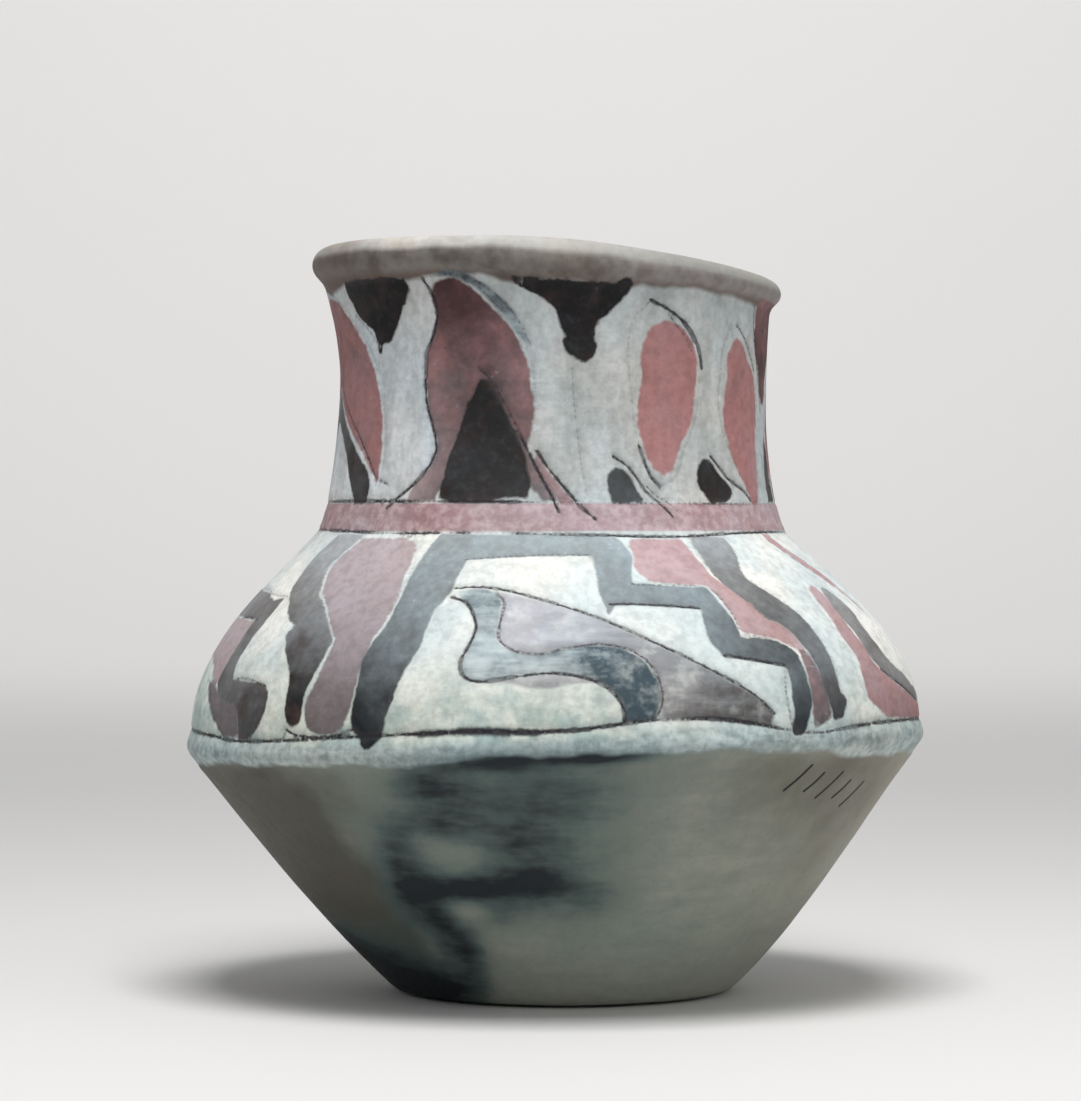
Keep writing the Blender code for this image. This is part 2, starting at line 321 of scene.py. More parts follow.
NECK_FRONT = (
    # The blue-grey crescent under the lip, deeper towards the top: partly a painted shadow of the lip.
    ("wash", (0.42, 0.8), -0.3, (
        (-30, 205.6, CORNER), (-24, 207), (-18, 205), (-12.4, 199.6), (-8.6, 193.6), (-6.2, 187, CORNER),
        (-8.4, 189.4), (-11.6, 194), (-15.8, 199.2), (-20.2, 203.6), (-25.6, 205.4))),
    # The leaf-shaped space between the first arch and the hanging triangle is bare slip, so it has no patch.
    ("black", (1.1, 1.1), 0, (
        (-38.5, 205.2, CORNER), (-37.6, 202), (-38.6, 200.2), (-41.2, 196.5), (-44.2, 191.8),
        (-47.2, 188.2), (-50.2, 187.4), (-51.8, 184.8), (-52.6, 188.8), (-53.6, 191), (-57.2, 193.6),
        (-60.2, 196.4), (-62.2, 200.2), (-63.2, 202.8), (-62.8, 205, CORNER))),
    ("red", (0.1, 0.85, 0.45, 0.97, 0.9, 0.86), (0.95, 0.12), (
        (-38, 145.6, CORNER), (-36.6, 149.2), (-33.2, 153), (-31, 156.8), (-30.7, 161), (-32.2, 165.5),
        (-34, 170.5), (-34.6, 177), (-34.3, 183.5), (-31.8, 190), (-30.2, 195), (-30.8, 200), (-29, 203.4),
        (-25.5, 204.6), (-21.5, 203.4), (-17.5, 199), (-13.2, 194.6), (-10.2, 190), (-7.9, 185),
        (-6.6, 179), (-5.5, 172), (-5.6, 166), (-6.6, 161), (-4.6, 155.8), (-2.2, 151.2),
        (1.2, 145.6, CORNER), (-2.4, 145.6, CORNER), (-6.4, 151), (-10, 158), (-15.4, 167),
        (-19, 171, CORNER), (-22, 165), (-25.4, 155), (-28.4, 149.5), (-30.4, 145.6, CORNER))),
    ("red", (0.45, 0.35), 0.6, (
        (-3.6, 157.8, CORNER), (-0.6, 152.6), (3.4, 147.2), (5.4, 144.6, CORNER), (2.2, 144.6, CORNER),
        (-1.2, 150), (-4.2, 155.6))),
    ("black", (0.95, 0.99), 0, (
        (-28.6, 146.8, CORNER), (-24.5, 145.3), (-15, 145.5, CORNER), (-13.8, 146.3), (-6.4, 146.6, CORNER),
        (-5.6, 151), (-7.2, 157), (-9, 162.5), (-11.6, 168), (-14.2, 172.5), (-16.6, 176.4),
        (-19.2, 177.2, CORNER), (-21.2, 173), (-23.6, 166.5), (-24.6, 162.5), (-26.8, 156.5), (-28, 151))),
    ("black", (0.98, 1.04), 0, (
        (-8.8, 206.2, CORNER), (-7.2, 204), (-3.2, 201.4), (0.2, 199), (1.8, 196.4), (2.2, 193),
        (3.3, 190.2), (2.4, 188), (3.2, 185.6), (5.6, 184.8), (7.6, 183.6), (9.4, 184.6), (10.9, 187.2),
        (10.4, 190.2), (11, 194), (13.6, 195.8), (16, 198.6), (18.4, 201.8), (19.8, 204.2), (20.8, 205.8),
        (20.4, 207.2), (19.2, 207.6), (18, 207), (17, 206.2, CORNER))),
    ("red", (0.43, 0.53), 0.05, (
        (29.4, 153, CORNER), (31.6, 154.4), (33.4, 157.8), (34.6, 161.6), (36.8, 165), (38.4, 169.6),
        (39.4, 176), (40, 183.5), (39.2, 188.9), (37.2, 192.8), (34, 195.6), (30.4, 196.4), (27.2, 194.6),
        (24.8, 191.2), (23.4, 186.5), (23.6, 180), (22.6, 173), (22.6, 167), (24, 160.5), (26.4, 155.2))),
    ("black", (0.9, 0.9), 0.35, (
        (15, 144.8, CORNER), (14.2, 149), (14.8, 152.8), (17, 153.9), (19.4, 151.8), (21.2, 148.2),
        (23.2, 145.2, CORNER))),
    ("black", (0.95, 0.97), 0, (
        (43.4, 145.2, CORNER), (41.8, 147.8), (39.6, 150.2), (40, 154.4), (41.6, 157.2), (44, 157.2),
        (46.6, 154), (49.4, 151), (51.9, 148.5), (51, 146.8), (48, 145.2, CORNER))),
    ("red", (0.44, 0.5), 0, (
        (61.2, 145, CORNER), (64.4, 145, CORNER), (65.4, 150), (66.4, 157), (67.8, 165), (68.5, 173),
        (67.8, 180.5), (65.6, 185), (62.4, 188.4), (60.2, 192.4), (57.6, 194.6), (54.6, 193), (52.6, 188.8),
        (52.2, 183), (51.2, 175), (51.6, 167), (53.8, 160), (57, 153.4), (59.6, 148.6))),
)

# What shows past them at the right edge of the neck: a dark patch hanging from the lip and a black foot.
NECK_RIGHT = (
    ("red", (0.92, 0.8), 0.1, (
        (67.6, 207, CORNER), (67.2, 200), (67.6, 196), (69, 192), (70.5, 188), (72, 184), (73.4, 179),
        (75.4, 176.4), (77.4, 178), (78.6, 184), (82, 189.4), (87.4, 194.6), (92, 200), (94, 207, CORNER))),
    ("black", (0.95, 0.9), 0, (
        (73.6, 145.5, CORNER), (73.4, 150), (74.4, 157), (75.6, 163), (77.2, 168, CORNER), (78, 161),
        (78.4, 153), (79.6, 145.5, CORNER))),
)

# The wide arch of the sides, about its middle.
WIDE_ARCH_MIDDLE = -79.0
RIGHT_ARCH_MIDDLE = 108.0
RIGHT_ARCH_TOP_DEPTH = 0.95
WIDE_ARCH = (
    ("red", (0.52, 0.66), 0.15, (
        (28.7, 151, CORNER), (29.2, 156), (28.8, 163), (27.2, 171), (24.8, 178.5), (21.4, 185), (17.4, 190),
        (12.8, 195), (7, 199.4), (0, 201), (-7, 199.4), (-12.8, 195.4), (-17.6, 190), (-21.6, 184.4),
        (-24.4, 178), (-27, 171), (-28.6, 163), (-29, 156), (-28.6, 151, CORNER), (-22.4, 157.6),
        (-13.6, 164.6), (-6.4, 170.2), (0, 177.4, CORNER), (4.4, 171.4), (9.4, 167.4), (14.4, 163.4),
        (21.6, 157.8))),
    ("black", (0.93, 0.8), 0, (
        (20.2, 145, CORNER), (25.2, 145.4), (25.8, 149), (24.4, 152.8), (19.2, 156.6), (14, 161),
        (8.6, 166), (4, 169.8), (0, 175.6, CORNER), (-4, 170.2), (-9, 165.6), (-14.4, 160.6),
        (-19.4, 156.4), (-24.6, 152.4), (-25.8, 148.8), (-24.8, 145.2), (-19.8, 145, CORNER), (-14.6, 154),
        (-9.4, 160), (-4.6, 164.6), (-1, 167.4), (3.4, 165.6), (9, 160.2), (14.2, 153.8))),
)

# The shoulder's blacks thin towards the top: their grey there is partly wear, partly painted sheen.
SHOULDER_FRONT = (
    # The step at the far left: its pink field, its black bar and the brown corner under the bar.
    ("red", (0.26, 0.1), 0.9, (
        (-92, 112, CORNER), (-67.6, 111.4, CORNER), (-67.2, 106), (-67.8, 100), (-68.4, 95.2, CORNER),
        (-71.4, 95.8), (-75.4, 99), (-82, 101.4), (-92, 102, CORNER))),
    ("red", (0.68, 0.55), 1.15, (
        (-73.4, 94.6, CORNER), (-68.4, 92.4), (-62, 89.8, CORNER), (-58, 88.8), (-57.4, 84),
        (-56.6, 79.8, CORNER), (-62, 80, CORNER), (-66, 84), (-70, 89.4))),
    ("black", (0.92, 0.5), 0, (
        (-93, 119.6, CORNER), (-76, 119.4), (-70, 118.4), (-65.4, 117.2), (-61.6, 117.8, CORNER),
        (-62, 112), (-62.8, 106), (-63.4, 101), (-62.6, 95.6, CORNER), (-56, 94.8), (-51.6, 93.8),
        (-50.2, 91), (-50.4, 87), (-51.4, 83), (-53, 79.4, CORNER), (-56.4, 79.4, CORNER), (-57, 84),
        (-57.8, 88.2), (-62, 89.6, CORNER), (-66, 91.4), (-68.2, 94.8, CORNER), (-67.4, 99.6), (-67, 105.6),
        (-67.2, 112.6, CORNER), (-76, 112.6), (-93, 112.8, CORNER))),
    # The black stripe with a bend, then the wide pink band.
    ("black", (1.08, 0.14), 0.1, (
        (-61.4, 135.6, CORNER), (-50.8, 135.6, CORNER), (-53, 131.6), (-54.2, 127), (-52.4, 122.4),
        (-49.6, 119), (-45.4, 114.4), (-41.6, 109.8), (-39.9, 106.4), (-40.2, 101), (-41.4, 94),
        (-41.8, 88), (-42.3, 84.2), (-43.6, 83.4), (-44.8, 86), (-45.2, 91), (-45.6, 96), (-47.4, 100.2),
        (-49.8, 104.6), (-51.7, 108.6), (-50.6, 110.4), (-54.4, 113.4), (-57, 116.2), (-60.2, 119.2),
        (-62.2, 123), (-63.6, 127.6), (-63, 131.4))),
    ("red", (0.56, 0.05), (1.3, 1), (
        (-49.4, 134.8, CORNER), (-51.4, 131), (-52.4, 127), (-50.4, 122), (-47.4, 118.4), (-43.4, 113.6),
        (-39.8, 108.6), (-38.8, 105), (-39.4, 98), (-40.4, 91), (-40.8, 86.6), (-39.8, 82.4), (-36.6, 80.8),
        (-33.8, 82.6), (-32.4, 87.6), (-32.2, 94), (-31.8, 100), (-31.4, 106), (-30.6, 111), (-30, 117),
        (-30.8, 124), (-31.2, 129.6), (-32.6, 133.2), (-35.6, 134.8, CORNER))),
    # The broad black stripe that drips over the ridge.
    ("black", (1.12, 0.8, 0.2, 0.22), 0.7, (
        (-26.4, 135.8, CORNER), (-18.4, 135.8, CORNER), (-18.2, 128.6), (-19.2, 124), (-19.6, 120),
        (-21.2, 115.4), (-22, 109), (-22.6, 103), (-24.2, 97.6), (-25, 91.6), (-25.8, 86), (-26.4, 80.6),
        (-27.6, 78), (-28.8, 76.8), (-29.8, 78.2), (-30.4, 80.6), (-31.5, 83), (-31.6, 90), (-31.5, 97),
        (-31.4, 103), (-29.9, 109), (-29, 116), (-29, 124), (-28.2, 131))),
    # The bar under the collar and the stepped fret that hangs from it.
    ("black", (0.64, 1.02, 0.16, 0.3), 0.8, (
        (-19, 135.8, CORNER), (13.2, 135.8, CORNER), (15.4, 133.2), (16.6, 130), (15.4, 126),
        (14.8, 121.4, CORNER), (22, 120.6), (29.4, 119.8, CORNER), (30.4, 116), (31.4, 111),
        (31.2, 105.2, CORNER), (36, 104.6), (39, 102.8), (41.2, 99.4), (41.4, 92), (41.4, 86), (40.4, 80.6),
        (38.8, 77, CORNER), (37.2, 77, CORNER), (37.8, 84), (38, 91), (38.2, 96.6, CORNER), (33, 98.2),
        (27.2, 100, CORNER), (25.6, 105), (26, 109.4), (26.6, 114, CORNER), (18, 115.4),
        (10.8, 115.8, CORNER), (9.4, 113.2, CORNER), (8.8, 118), (8.8, 124), (8.4, 130, CORNER), (0, 130.2),
        (-9, 129.8), (-19, 128.8, CORNER))),
    # The pink field above the fret and its tail between the fret and the next stripe.
    ("red", (0.2, 0.07), (0.5, 0.1), (
        (17.4, 134.4, CORNER), (30.6, 134.2, CORNER), (31.6, 128), (32.8, 123), (35.4, 119), (37.4, 115),
        (38.8, 111.2), (41.2, 108.2), (42.6, 104.8), (43.4, 101.4, CORNER), (41.4, 101.8), (38.6, 104.4),
        (34.4, 106.2), (32.2, 107.4, CORNER), (32.4, 112), (31.6, 117), (30.2, 120.8, CORNER), (24, 121.6),
        (18.4, 122.4, CORNER), (16.6, 126.4), (17.6, 130))),
    ("red", (0.85, 0.5), 0.8, (
        (42.4, 101, CORNER), (44, 100, CORNER), (44.4, 95), (44.9, 89), (45.2, 80.4, CORNER),
        (41.6, 78.6, CORNER), (41.8, 86), (42, 93))),
    # The curved black stripe, the pink band to its right, and the thin stripe beside that.
    ("black", (0.96, 0.26), 0.3, (
        (34, 135.8, CORNER), (43.6, 134.6, CORNER), (43.4, 131.4), (42.2, 128), (40.7, 124), (42, 120.6),
        (44.6, 117), (46.8, 112.6), (48, 107), (48.5, 100), (48.2, 93), (48, 88.4), (49.2, 85.4),
        (48, 81, CORNER), (46, 80.2, CORNER), (45.4, 85), (44.9, 92), (44.6, 99), (43.4, 104),
        (41.4, 108.6), (38.8, 111.8), (37.4, 115.6), (34.8, 120.4), (33.6, 125), (33.4, 131))),
    ("red", (0.4, 0.12), 0.4, (
        (57.4, 119.4, CORNER), (60.4, 119.8), (61, 114), (59.8, 108), (60.6, 101), (61.2, 96), (65.4, 91.4),
        (71, 87.6), (79, 84.2), (90, 82.6, CORNER), (90, 80.2, CORNER), (74, 80), (62, 80.6), (57.8, 83.4),
        (55.6, 86), (55.4, 92), (56.4, 98), (55.4, 105), (56.2, 110), (56.6, 115))),
    ("black", (0.55, 0.4), 0, (
        (62, 118), (64.4, 119.6), (66, 117.6), (67.4, 113), (66.2, 107), (66.6, 101.6), (68.8, 96.4),
        (73, 92.8), (79, 88.6), (90, 85.8, CORNER), (90, 84, CORNER), (76, 86), (69, 89.8), (63.6, 94.4),
        (61, 99), (61, 106), (60.4, 111))),
    ("red", (0.3, 0.18), 0.3, (
        (59.8, 135.6, CORNER), (60.8, 132.4), (64.4, 129.2), (67.6, 125.4), (70.2, 122), (73, 117.6),
        (75.4, 112, CORNER), (74.6, 118.4), (72.4, 123.4), (69, 127.6), (65.4, 131), (63.4, 133.4),
        (62.8, 135.6, CORNER))),
)

# The sweeping edge of the grey fields at the front and at the back.
SWEEP = ((-4, 117.8), (2, 114.8), (8, 111), (14, 105.8), (20, 100), (26, 93.6), (31, 87.6))

WAVE = (
    # The grey field under the sweeping line.
    ("wash", (0.18, 1, -0.06, 0.5), 0.35, (
        (-10.4, 119.8, CORNER), *SWEEP, (33.8, 82.6, CORNER), (33.2, 79.4, CORNER), (25, 81.6),
        (15.4, 82.6, CORNER), (15.8, 89), (15.4, 95), (13.8, 99.6), (10.6, 103.2), (6, 104.4), (1, 103.4),
        (-3, 102.2), (-7, 103.4), (-9.2, 107), (-9.2, 114), (-9, 117.4))),
    # The worn blue-black wave.
    ("wash", (0.3, 0.3, 0.26, 0.44, 1.35, 1.5, 0.46, 0.36, 0.26, 0.2, 0.6, 0.9), -0.85, (
        (-17.4, 119.6, CORNER), (-13.6, 120.6), (-10.4, 119.4, CORNER), (-9.2, 116.4), (-9.5, 110),
        (-9.3, 106), (-7, 103.2), (-3, 101.8), (1, 103), (6, 104), (10.4, 102.8), (13.4, 99.4), (15, 95),
        (15.4, 90), (15, 86), (14.4, 82.4, CORNER), (9.8, 82, CORNER), (9.9, 86.6), (8.9, 90), (6.8, 93.2),
        (3.6, 95.4), (-1, 96.6), (-6, 95.8), (-11, 94.8), (-13.8, 96.4), (-14.6, 100.6), (-13.6, 105),
        (-13, 110), (-14.2, 114.4), (-16, 117.2))),
    ("wash", (0.42, 0.3), 0.1, (
        (-10.4, 94.6, CORNER), (-6, 94), (-3.4, 92.6), (-0.4, 92.4), (2.4, 93.6), (5.8, 93.6, CORNER),
        (2.4, 95.6), (-1, 96.6), (-6, 95.8))),
)

# The back has the front's shapes, flipped so that they meet at the sides, and this plain field for the wave.
BACK_NECK_TURN = 197.0
BACK_LAST_LENS_TURN = 206.0
BACK_SHOULDER_TURN = 180.0
# Only the neck's deeper lines up to this angle are on the back.
BACK_LINES_END = 50
BACK_DEPTH = 0.4
BACK_FIELD = ("wash", (0.35, 0.8, 0.05, 0.4), 0.3, (
    (-12, 119.6, CORNER), *SWEEP, (33.6, 82, CORNER), (20, 82.4), (4, 82.6, CORNER), (6, 90), (4, 97),
    (-2, 103), (-8, 109)))

# Lines pressed with a cord, each with how dark its dirt is, how deep it is pressed in mm, and its points.
NECK_LINES = (
    (0.2, 0.45, (
        (-69, 199.5), (-64, 194.4), (-59.4, 189.2), (-55.4, 183.6), (-52.4, 177), (-50.2, 169.5),
        (-48.6, 160), (-48.8, 153), (-50.4, 150))),
    (0.85, 0.55, (
        (-32.8, 205), (-30.9, 200), (-30.4, 195), (-32.2, 189.6), (-34.8, 184.4), (-35.3, 177),
        (-34.6, 171), (-32.6, 165.6), (-31, 160.4), (-31.4, 157), (-34, 152.8), (-37.6, 149.2),
        (-41.4, 146.4), (-45, 143.4))),
    (0.4, 0.5, (
        (-20.4, 206.4), (-16, 202.6), (-12, 198.6), (-9.2, 194.8), (-7.2, 190.8), (-5.9, 187.2))),
    (0.3, 0.35, (
        (-26.8, 205.9), (-20, 204.8), (-15.6, 199.6), (-12, 195.4))),
    (0.3, 0.4, (
        (-5.6, 183), (-5, 176), (-4.7, 169), (-5.4, 163))),
    (0.85, 0.5, (
        (-9, 163.8), (-6.6, 159.6), (-4.6, 155.4), (-2.2, 150.8), (0, 146.4), (1.6, 142.4))),
    (0.9, 0.55, (
        (-3.8, 158.6), (-1.4, 154.8), (1.6, 150.8), (4.2, 147.4), (7.2, 143.6), (10.4, 140.2))),
    (0.6, 0.4, (
        (-19.8, 180.6), (-16.2, 177.2), (-13.4, 172.6), (-10.8, 168), (-8.4, 163.6))),
    (0.28, 0.5, (
        (4.6, 183), (5.1, 174), (6.2, 165), (7.2, 156), (8.6, 147))),
    (0.22, 0.4, (
        (24.4, 199.4), (21.4, 196), (19.8, 190), (19.6, 183), (20.6, 175), (21.2, 168), (22.4, 161.5))),
    (0.8, 0.5, (
        (22.5, 161), (24, 156), (25.6, 152), (27.8, 149.4))),
    (0.95, 0.6, (
        (26.2, 202), (30.2, 200.4), (33.8, 198.8), (37.2, 196), (39.8, 192.4), (41.2, 188.6), (42.2, 184))),
    (0.95, 0.4, (
        (31.6, 199.7), (34.6, 198), (37.4, 195.2), (39.6, 192))),
    (0.5, 0.35, (
        (31.4, 198.6), (34, 195.6), (36.4, 192.8), (38.4, 189))),
    (0.15, 0.4, (
        (41.2, 180), (40.8, 172), (38.8, 165.4), (36.2, 160.2), (34.8, 156), (32.6, 151.8), (29.4, 149.8))),
    (0.75, 0.5, (
        (15.4, 157.6), (18.8, 155.4), (21.4, 152), (23.4, 148.6), (25.6, 146.4), (28.2, 144), (30.6, 141))),
    (0.5, 0.4, (
        (24.2, 149.4), (26.6, 146.8), (29.8, 144.8), (32.4, 142.6))),
    (0.8, 0.5, (
        (45, 158.6), (48.2, 155.2), (50.6, 152.4), (53.8, 150.4), (57.4, 148.4), (60.6, 145.4))),
    (0.25, 0.4, (
        (53.4, 197.6), (50.4, 190.6), (49.4, 182), (48.8, 175), (50, 168), (52, 162.4), (54.6, 157.2),
        (57, 152.6))),
    (0.6, 0.45, (
        (56.4, 198.6), (59, 197), (62, 194), (65, 190), (67.6, 185.8))),
    (0.2, 0.4, (
        (70, 182), (70.6, 172), (69.6, 163), (67.8, 154), (66.6, 147.4))),
    (0.45, 0.3, (
        (-61.4, 195.6), (-57, 192.2), (-52.4, 187.4))),
    (0.6, 0.4, (
        (66, 205), (66.4, 199), (68, 193.4), (70, 187.6), (71.6, 182), (73.6, 174))),
)

WIDE_ARCH_LINES = (
    (0.6, 0.5, (
        (0, 178.6), (6, 172.2), (12, 167.4), (18, 162.6), (24, 156.6), (28, 151.8), (33, 149.8))),
    (0.5, 0.5, (
        (-32, 149.6), (-28, 152), (-23.6, 156.8), (-17.6, 162.8), (-11.6, 167.6), (-6, 172), (0, 178.6))),
    (0.25, 0.45, (
        (28, 176), (25.8, 181), (22, 187), (17, 192.6), (11, 198), (0, 202.8), (-11, 198.4), (-17, 193.2),
        (-22.4, 187), (-26.2, 180), (-29.6, 170), (-30.8, 160), (-30, 152.6))),
)

SHOULDER_LINES = (
    (0.45, 0.4, (
        (-93, 120.6), (-76, 120.2), (-68, 119), (-60.6, 118.6))),
    (0.7, 0.45, (
        (-77, 112.2), (-72, 112.5), (-66.4, 112))),
    (0.6, 0.45, (
        (-61, 95.9), (-56, 95.6), (-51.4, 94.2))),
    (0.35, 0.4, (
        (-75, 98.6), (-70.6, 91.4), (-66, 84.6), (-62, 79.9))),
    (0.18, 0.4, (
        (-50.4, 135), (-53.2, 130.6), (-53.8, 126.6), (-51.2, 121.4), (-46.4, 116), (-41, 109.4),
        (-39.4, 105.6))),
    (0.22, 0.4, (
        (-36.4, 135), (-33, 134.4), (-31.4, 131.6), (-29.8, 127), (-29.6, 121), (-29.8, 114))),
    (0.75, 0.5, (
        (-44.6, 82), (-42.4, 80.6), (-38, 80), (-33.6, 80.8), (-31.4, 82.2))),
    (0.8, 0.55, (
        (-18.6, 121), (-14, 121.3), (-9, 120.4), (-4, 118.4), (2, 115.4), (8, 111.6), (14, 106.4),
        (20, 100.6), (26, 94.2), (31, 88.2), (34, 82.6))),
    (0.4, 0.4, (
        (-18.6, 129), (-9, 129.8), (0, 130.3), (8.4, 130))),
    (0.85, 0.45, (
        (10, 115.8), (14, 115.7), (20, 115), (26.2, 114.1))),
    (0.85, 0.45, (
        (27.2, 100), (31, 99), (38, 96.6))),
    (0.5, 0.4, (
        (38, 96), (36.9, 91), (36.7, 85), (37.2, 77.8))),
    (0.45, 0.4, (
        (14.8, 121.5), (20, 121), (29.8, 120.3), (31.8, 116), (32.2, 110), (31.6, 106), (34.6, 105.4),
        (38.4, 103.4))),
    (0.2, 0.4, (
        (33, 134.6), (32.7, 129), (33.8, 123.4), (36.6, 117.4), (38.8, 111), (42.2, 106.4), (44, 101.6))),
    (0.3, 0.4, (
        (44.2, 131.4), (41.2, 124.4), (42.6, 120.8), (45.4, 116.6), (47.6, 112), (48.8, 105), (49, 98),
        (48.7, 90), (49.6, 85.2))),
    (0.15, 0.4, (
        (57.4, 121.2), (55.2, 115.4), (54.9, 108), (54.6, 101), (54.4, 93), (54.8, 86))),
    (0.75, 0.45, (
        (63, 94.6), (66, 91.9), (70, 89.4), (75, 86.6), (81, 84.4))),
    (0.3, 0.35, (
        (60.2, 131), (63.6, 128.9), (67.2, 125.6), (69.8, 122))),
)

WAVE_LINES = (
    (0.65, 0.45, (
        (-10.6, 119.6), (-8.8, 116.8), (-9.1, 111), (-9, 106.6), (-6.4, 103.2), (-2.4, 102), (1.6, 103.4),
        (6.6, 104.5), (10.8, 103.2), (13.8, 100), (15.4, 95), (15.9, 89), (15.2, 84.6), (14.4, 82.6))),
    (0.9, 0.45, (
        (-18.8, 118.5), (-15.9, 117), (-14.2, 114), (-13.1, 109.8), (-13.8, 105), (-14.8, 100.4),
        (-14, 96.4), (-11.2, 94.7), (-6.2, 95.8), (-1, 96.6), (3.6, 95.3), (7, 92.8), (9, 89.2),
        (9.9, 85.2), (9.9, 82.4))),
)

# The pressed rings run all the way round. Each has its depth and its places: angle, height and how dark the
# dirt is there. The last place is as high as the first.
RINGS = (
    (0.45, (
        (-180, 145, 0.3), (-120, 145.2, 0.4), (-84, 145.2, 0.6), (-56, 145.3, 0.9), (-40, 145.2, 0.95),
        (-31, 145.2, 0.4), (-25, 145.2, 1), (-10, 145.1, 0.95), (-3, 145, 0.3), (14, 144.9, 0.2),
        (20, 144.8, 0.6), (30, 144.8, 0.2), (42, 144.7, 0.6), (52, 144.6, 0.5), (70, 144.8, 0.2),
        (120, 145.1, 0.4), (180, 145, 0.3))),
    (0.45, (
        (-180, 136.4, 0.4), (-120, 136.6, 0.5), (-84, 137.2, 0.5), (-66, 137, 0.8), (-50, 136.6, 0.9),
        (-42, 136.4, 0.3), (-36, 136.4, 0.95), (-28, 136.5, 0.95), (-26, 136.5, 0.2), (-21, 136.5, 0.9),
        (-18, 136.5, 0.3), (-12, 136.4, 0.2), (-8, 136.3, 0.8), (-3, 136.2, 0.6), (8, 135.9, 0.9),
        (20, 135.4, 1), (32, 135.4, 0.8), (44, 136, 0.9), (60, 136.4, 0.9), (76, 136.4, 0.6),
        (120, 136.4, 0.4), (180, 136.4, 0.4))),
    (0.55, (
        (-180, 79.6, 0.6), (-140, 79, 0.8), (-100, 80, 0.6), (-80, 79.9, 0.7), (-66, 79.4, 0.9),
        (-58, 78.6, 0.9), (-48, 78.9, 0.8), (-36, 79.8, 0.9), (-29, 80.2, 0.8), (-23, 80.5, 0.7),
        (-20, 80.6, 1.7), (-12, 80.9, 1.9), (-4, 80.1, 1.8), (0, 80.2, 1.1), (4, 80.4, 1.2), (12, 82, 0.9),
        (17, 82.2, 0.5), (23, 82, 1.1), (29, 80.5, 1.3), (36, 78.2, 0.6), (42, 76.9, 0.6), (52, 78.4, 0.9),
        (66, 79.2, 0.8), (90, 79.4, 0.7), (130, 80.2, 0.8), (180, 79.6, 0.6))),
)

# Plain slanting ink strokes low on the right of the wall: angle and height of the middle, half height, and
# lean in degrees.
STROKES = (
    (41, 63.9, 3.4, 1.7), (45.4, 62.4, 2.5, 1.3), (49.9, 61.2, 3.5, 1.8), (54.4, 59.8, 2.4, 1.3),
    (59, 58.2, 3.3, 1.7),
)
STROKE_BOW = 0.3
PEN = 3.0

# Smoke stains from the firing: angle and height of the middle, half width in degrees, half height in mm, and
# strength.
SMOKE = (
    (-13, 58, 13, 17, 0.44), (-19.5, 64, 5.5, 5, 0.5), (-20, 71, 4.5, 5, 0.3), (-20.5, 54.5, 6, 3.6, 0.42),
    (-29.5, 50, 4, 8.5, 0.36), (-5.5, 47, 6.5, 11, 0.42), (-8, 72, 7, 2, 0.9), (6.5, 72.4, 6.5, 1.5, 0.8),
    (-2, 76, 18, 3.4, 0.36), (2, 66, 15, 10, 0.32), (7, 50, 11, 16, 0.26), (-19, 36, 9.5, 3.6, 0.62),
    (-25.5, 36.4, 4.4, 3.6, 0.34), (-11, 37.2, 8, 4, 0.54), (-3, 38, 8.5, 6.5, 0.28), (6, 33, 9, 6, 0.28),
    (0, 25, 12, 6, 0.16), (-15, 29, 7, 5, 0.42), (-30, 40, 5, 6, 0.45), (-33, 45, 5, 6, 0.2),
    (-31.5, 32, 6.2, 5.8, 0.95), (-28, 23.5, 4.6, 5.4, 0.7), (-24.5, 16.5, 5.4, 7, 0.66),
    (-27, 8, 6, 7, 0.2), (-33, 3, 8, 6, 0.3), (-45, 4.5, 14, 7, 1), (-67, 8, 17, 10.5, 1.4),
    (-86, 9, 14, 11, 1), (-22.5, 45.6, 10, 3.4, -0.02), (-20, 29, 5, 2.4, -0.34), (-38, 56, 9, 18, 0.16),
    (-41, 21, 10, 8, 0.26), (150, 44, 16, 10, 0.6), (162, 30, 10, 12, 0.7), (176, 14, 18, 8, 0.7),
    (-150, 58, 9, 7, 0.4),
)

# Browner, darker clay, in the same terms.
SCORCH = (
    (-86, 40, 31, 46, 1.35), (-51, 29, 18, 30, 0.95), (-52, 60, 11, 14, 0.42), (-20, 66, 20, 9, 0.2),
    (50, 60, 30, 12, 0.42), (40, 69, 36, 5, 0.22), (62, 44, 14, 14, 0.24), (10, 46, 24, 22, 0.14),
    (34, 40, 30, 14, 0.16), (130, 30, 24, 30, 0.4),
)

# Where the white slip ends low on the ridge, as heights at angles, the last as high as the first.
SLIP_FOOT = (
    (-180, 70.5), (-140, 69.5), (-100, 68.6), (-80, 69.4), (-60, 70.6), (-45, 71.8), (-32, 72.6),
    (-22, 71.2), (-14, 72), (-6, 73.4), (4, 72.8), (12, 72.2), (22, 72.6), (34, 72.2), (46, 70.8),
    (60, 69.6), (76, 69), (110, 69.6), (150, 71.2), (180, 70.5),
)

# Where the slip ends under the lip, in the same terms.
SLIP_TOP = (
    (-180, 207), (-120, 206), (-96, 203.4), (-78, 202.8), (-66, 203.6), (-60, 204), (-42, 204), (-34, 204),
    (-26, 205.4), (-16, 206.6), (-9, 205.4), (16, 205.4), (22, 206.4), (30, 206.4), (50, 206.4),
    (70, 205.6), (90, 205.4), (120, 206.4), (180, 207),
)


def moved(points, turn, scale=1.0):
    """Outline or line points turned about the axis, and widened by a scale about the front."""
    return tuple((p[0] * scale + turn, *p[1:]) for p in points)


def flipped(patch, turn):
    """A patch turned to the back and flipped left for right."""
    paint, depth, tint, points = patch
    rows = np.array(depth, float).reshape(2, -1)
    return paint, rows[:, ::-1], tint, moved(points, turn, -1.0)


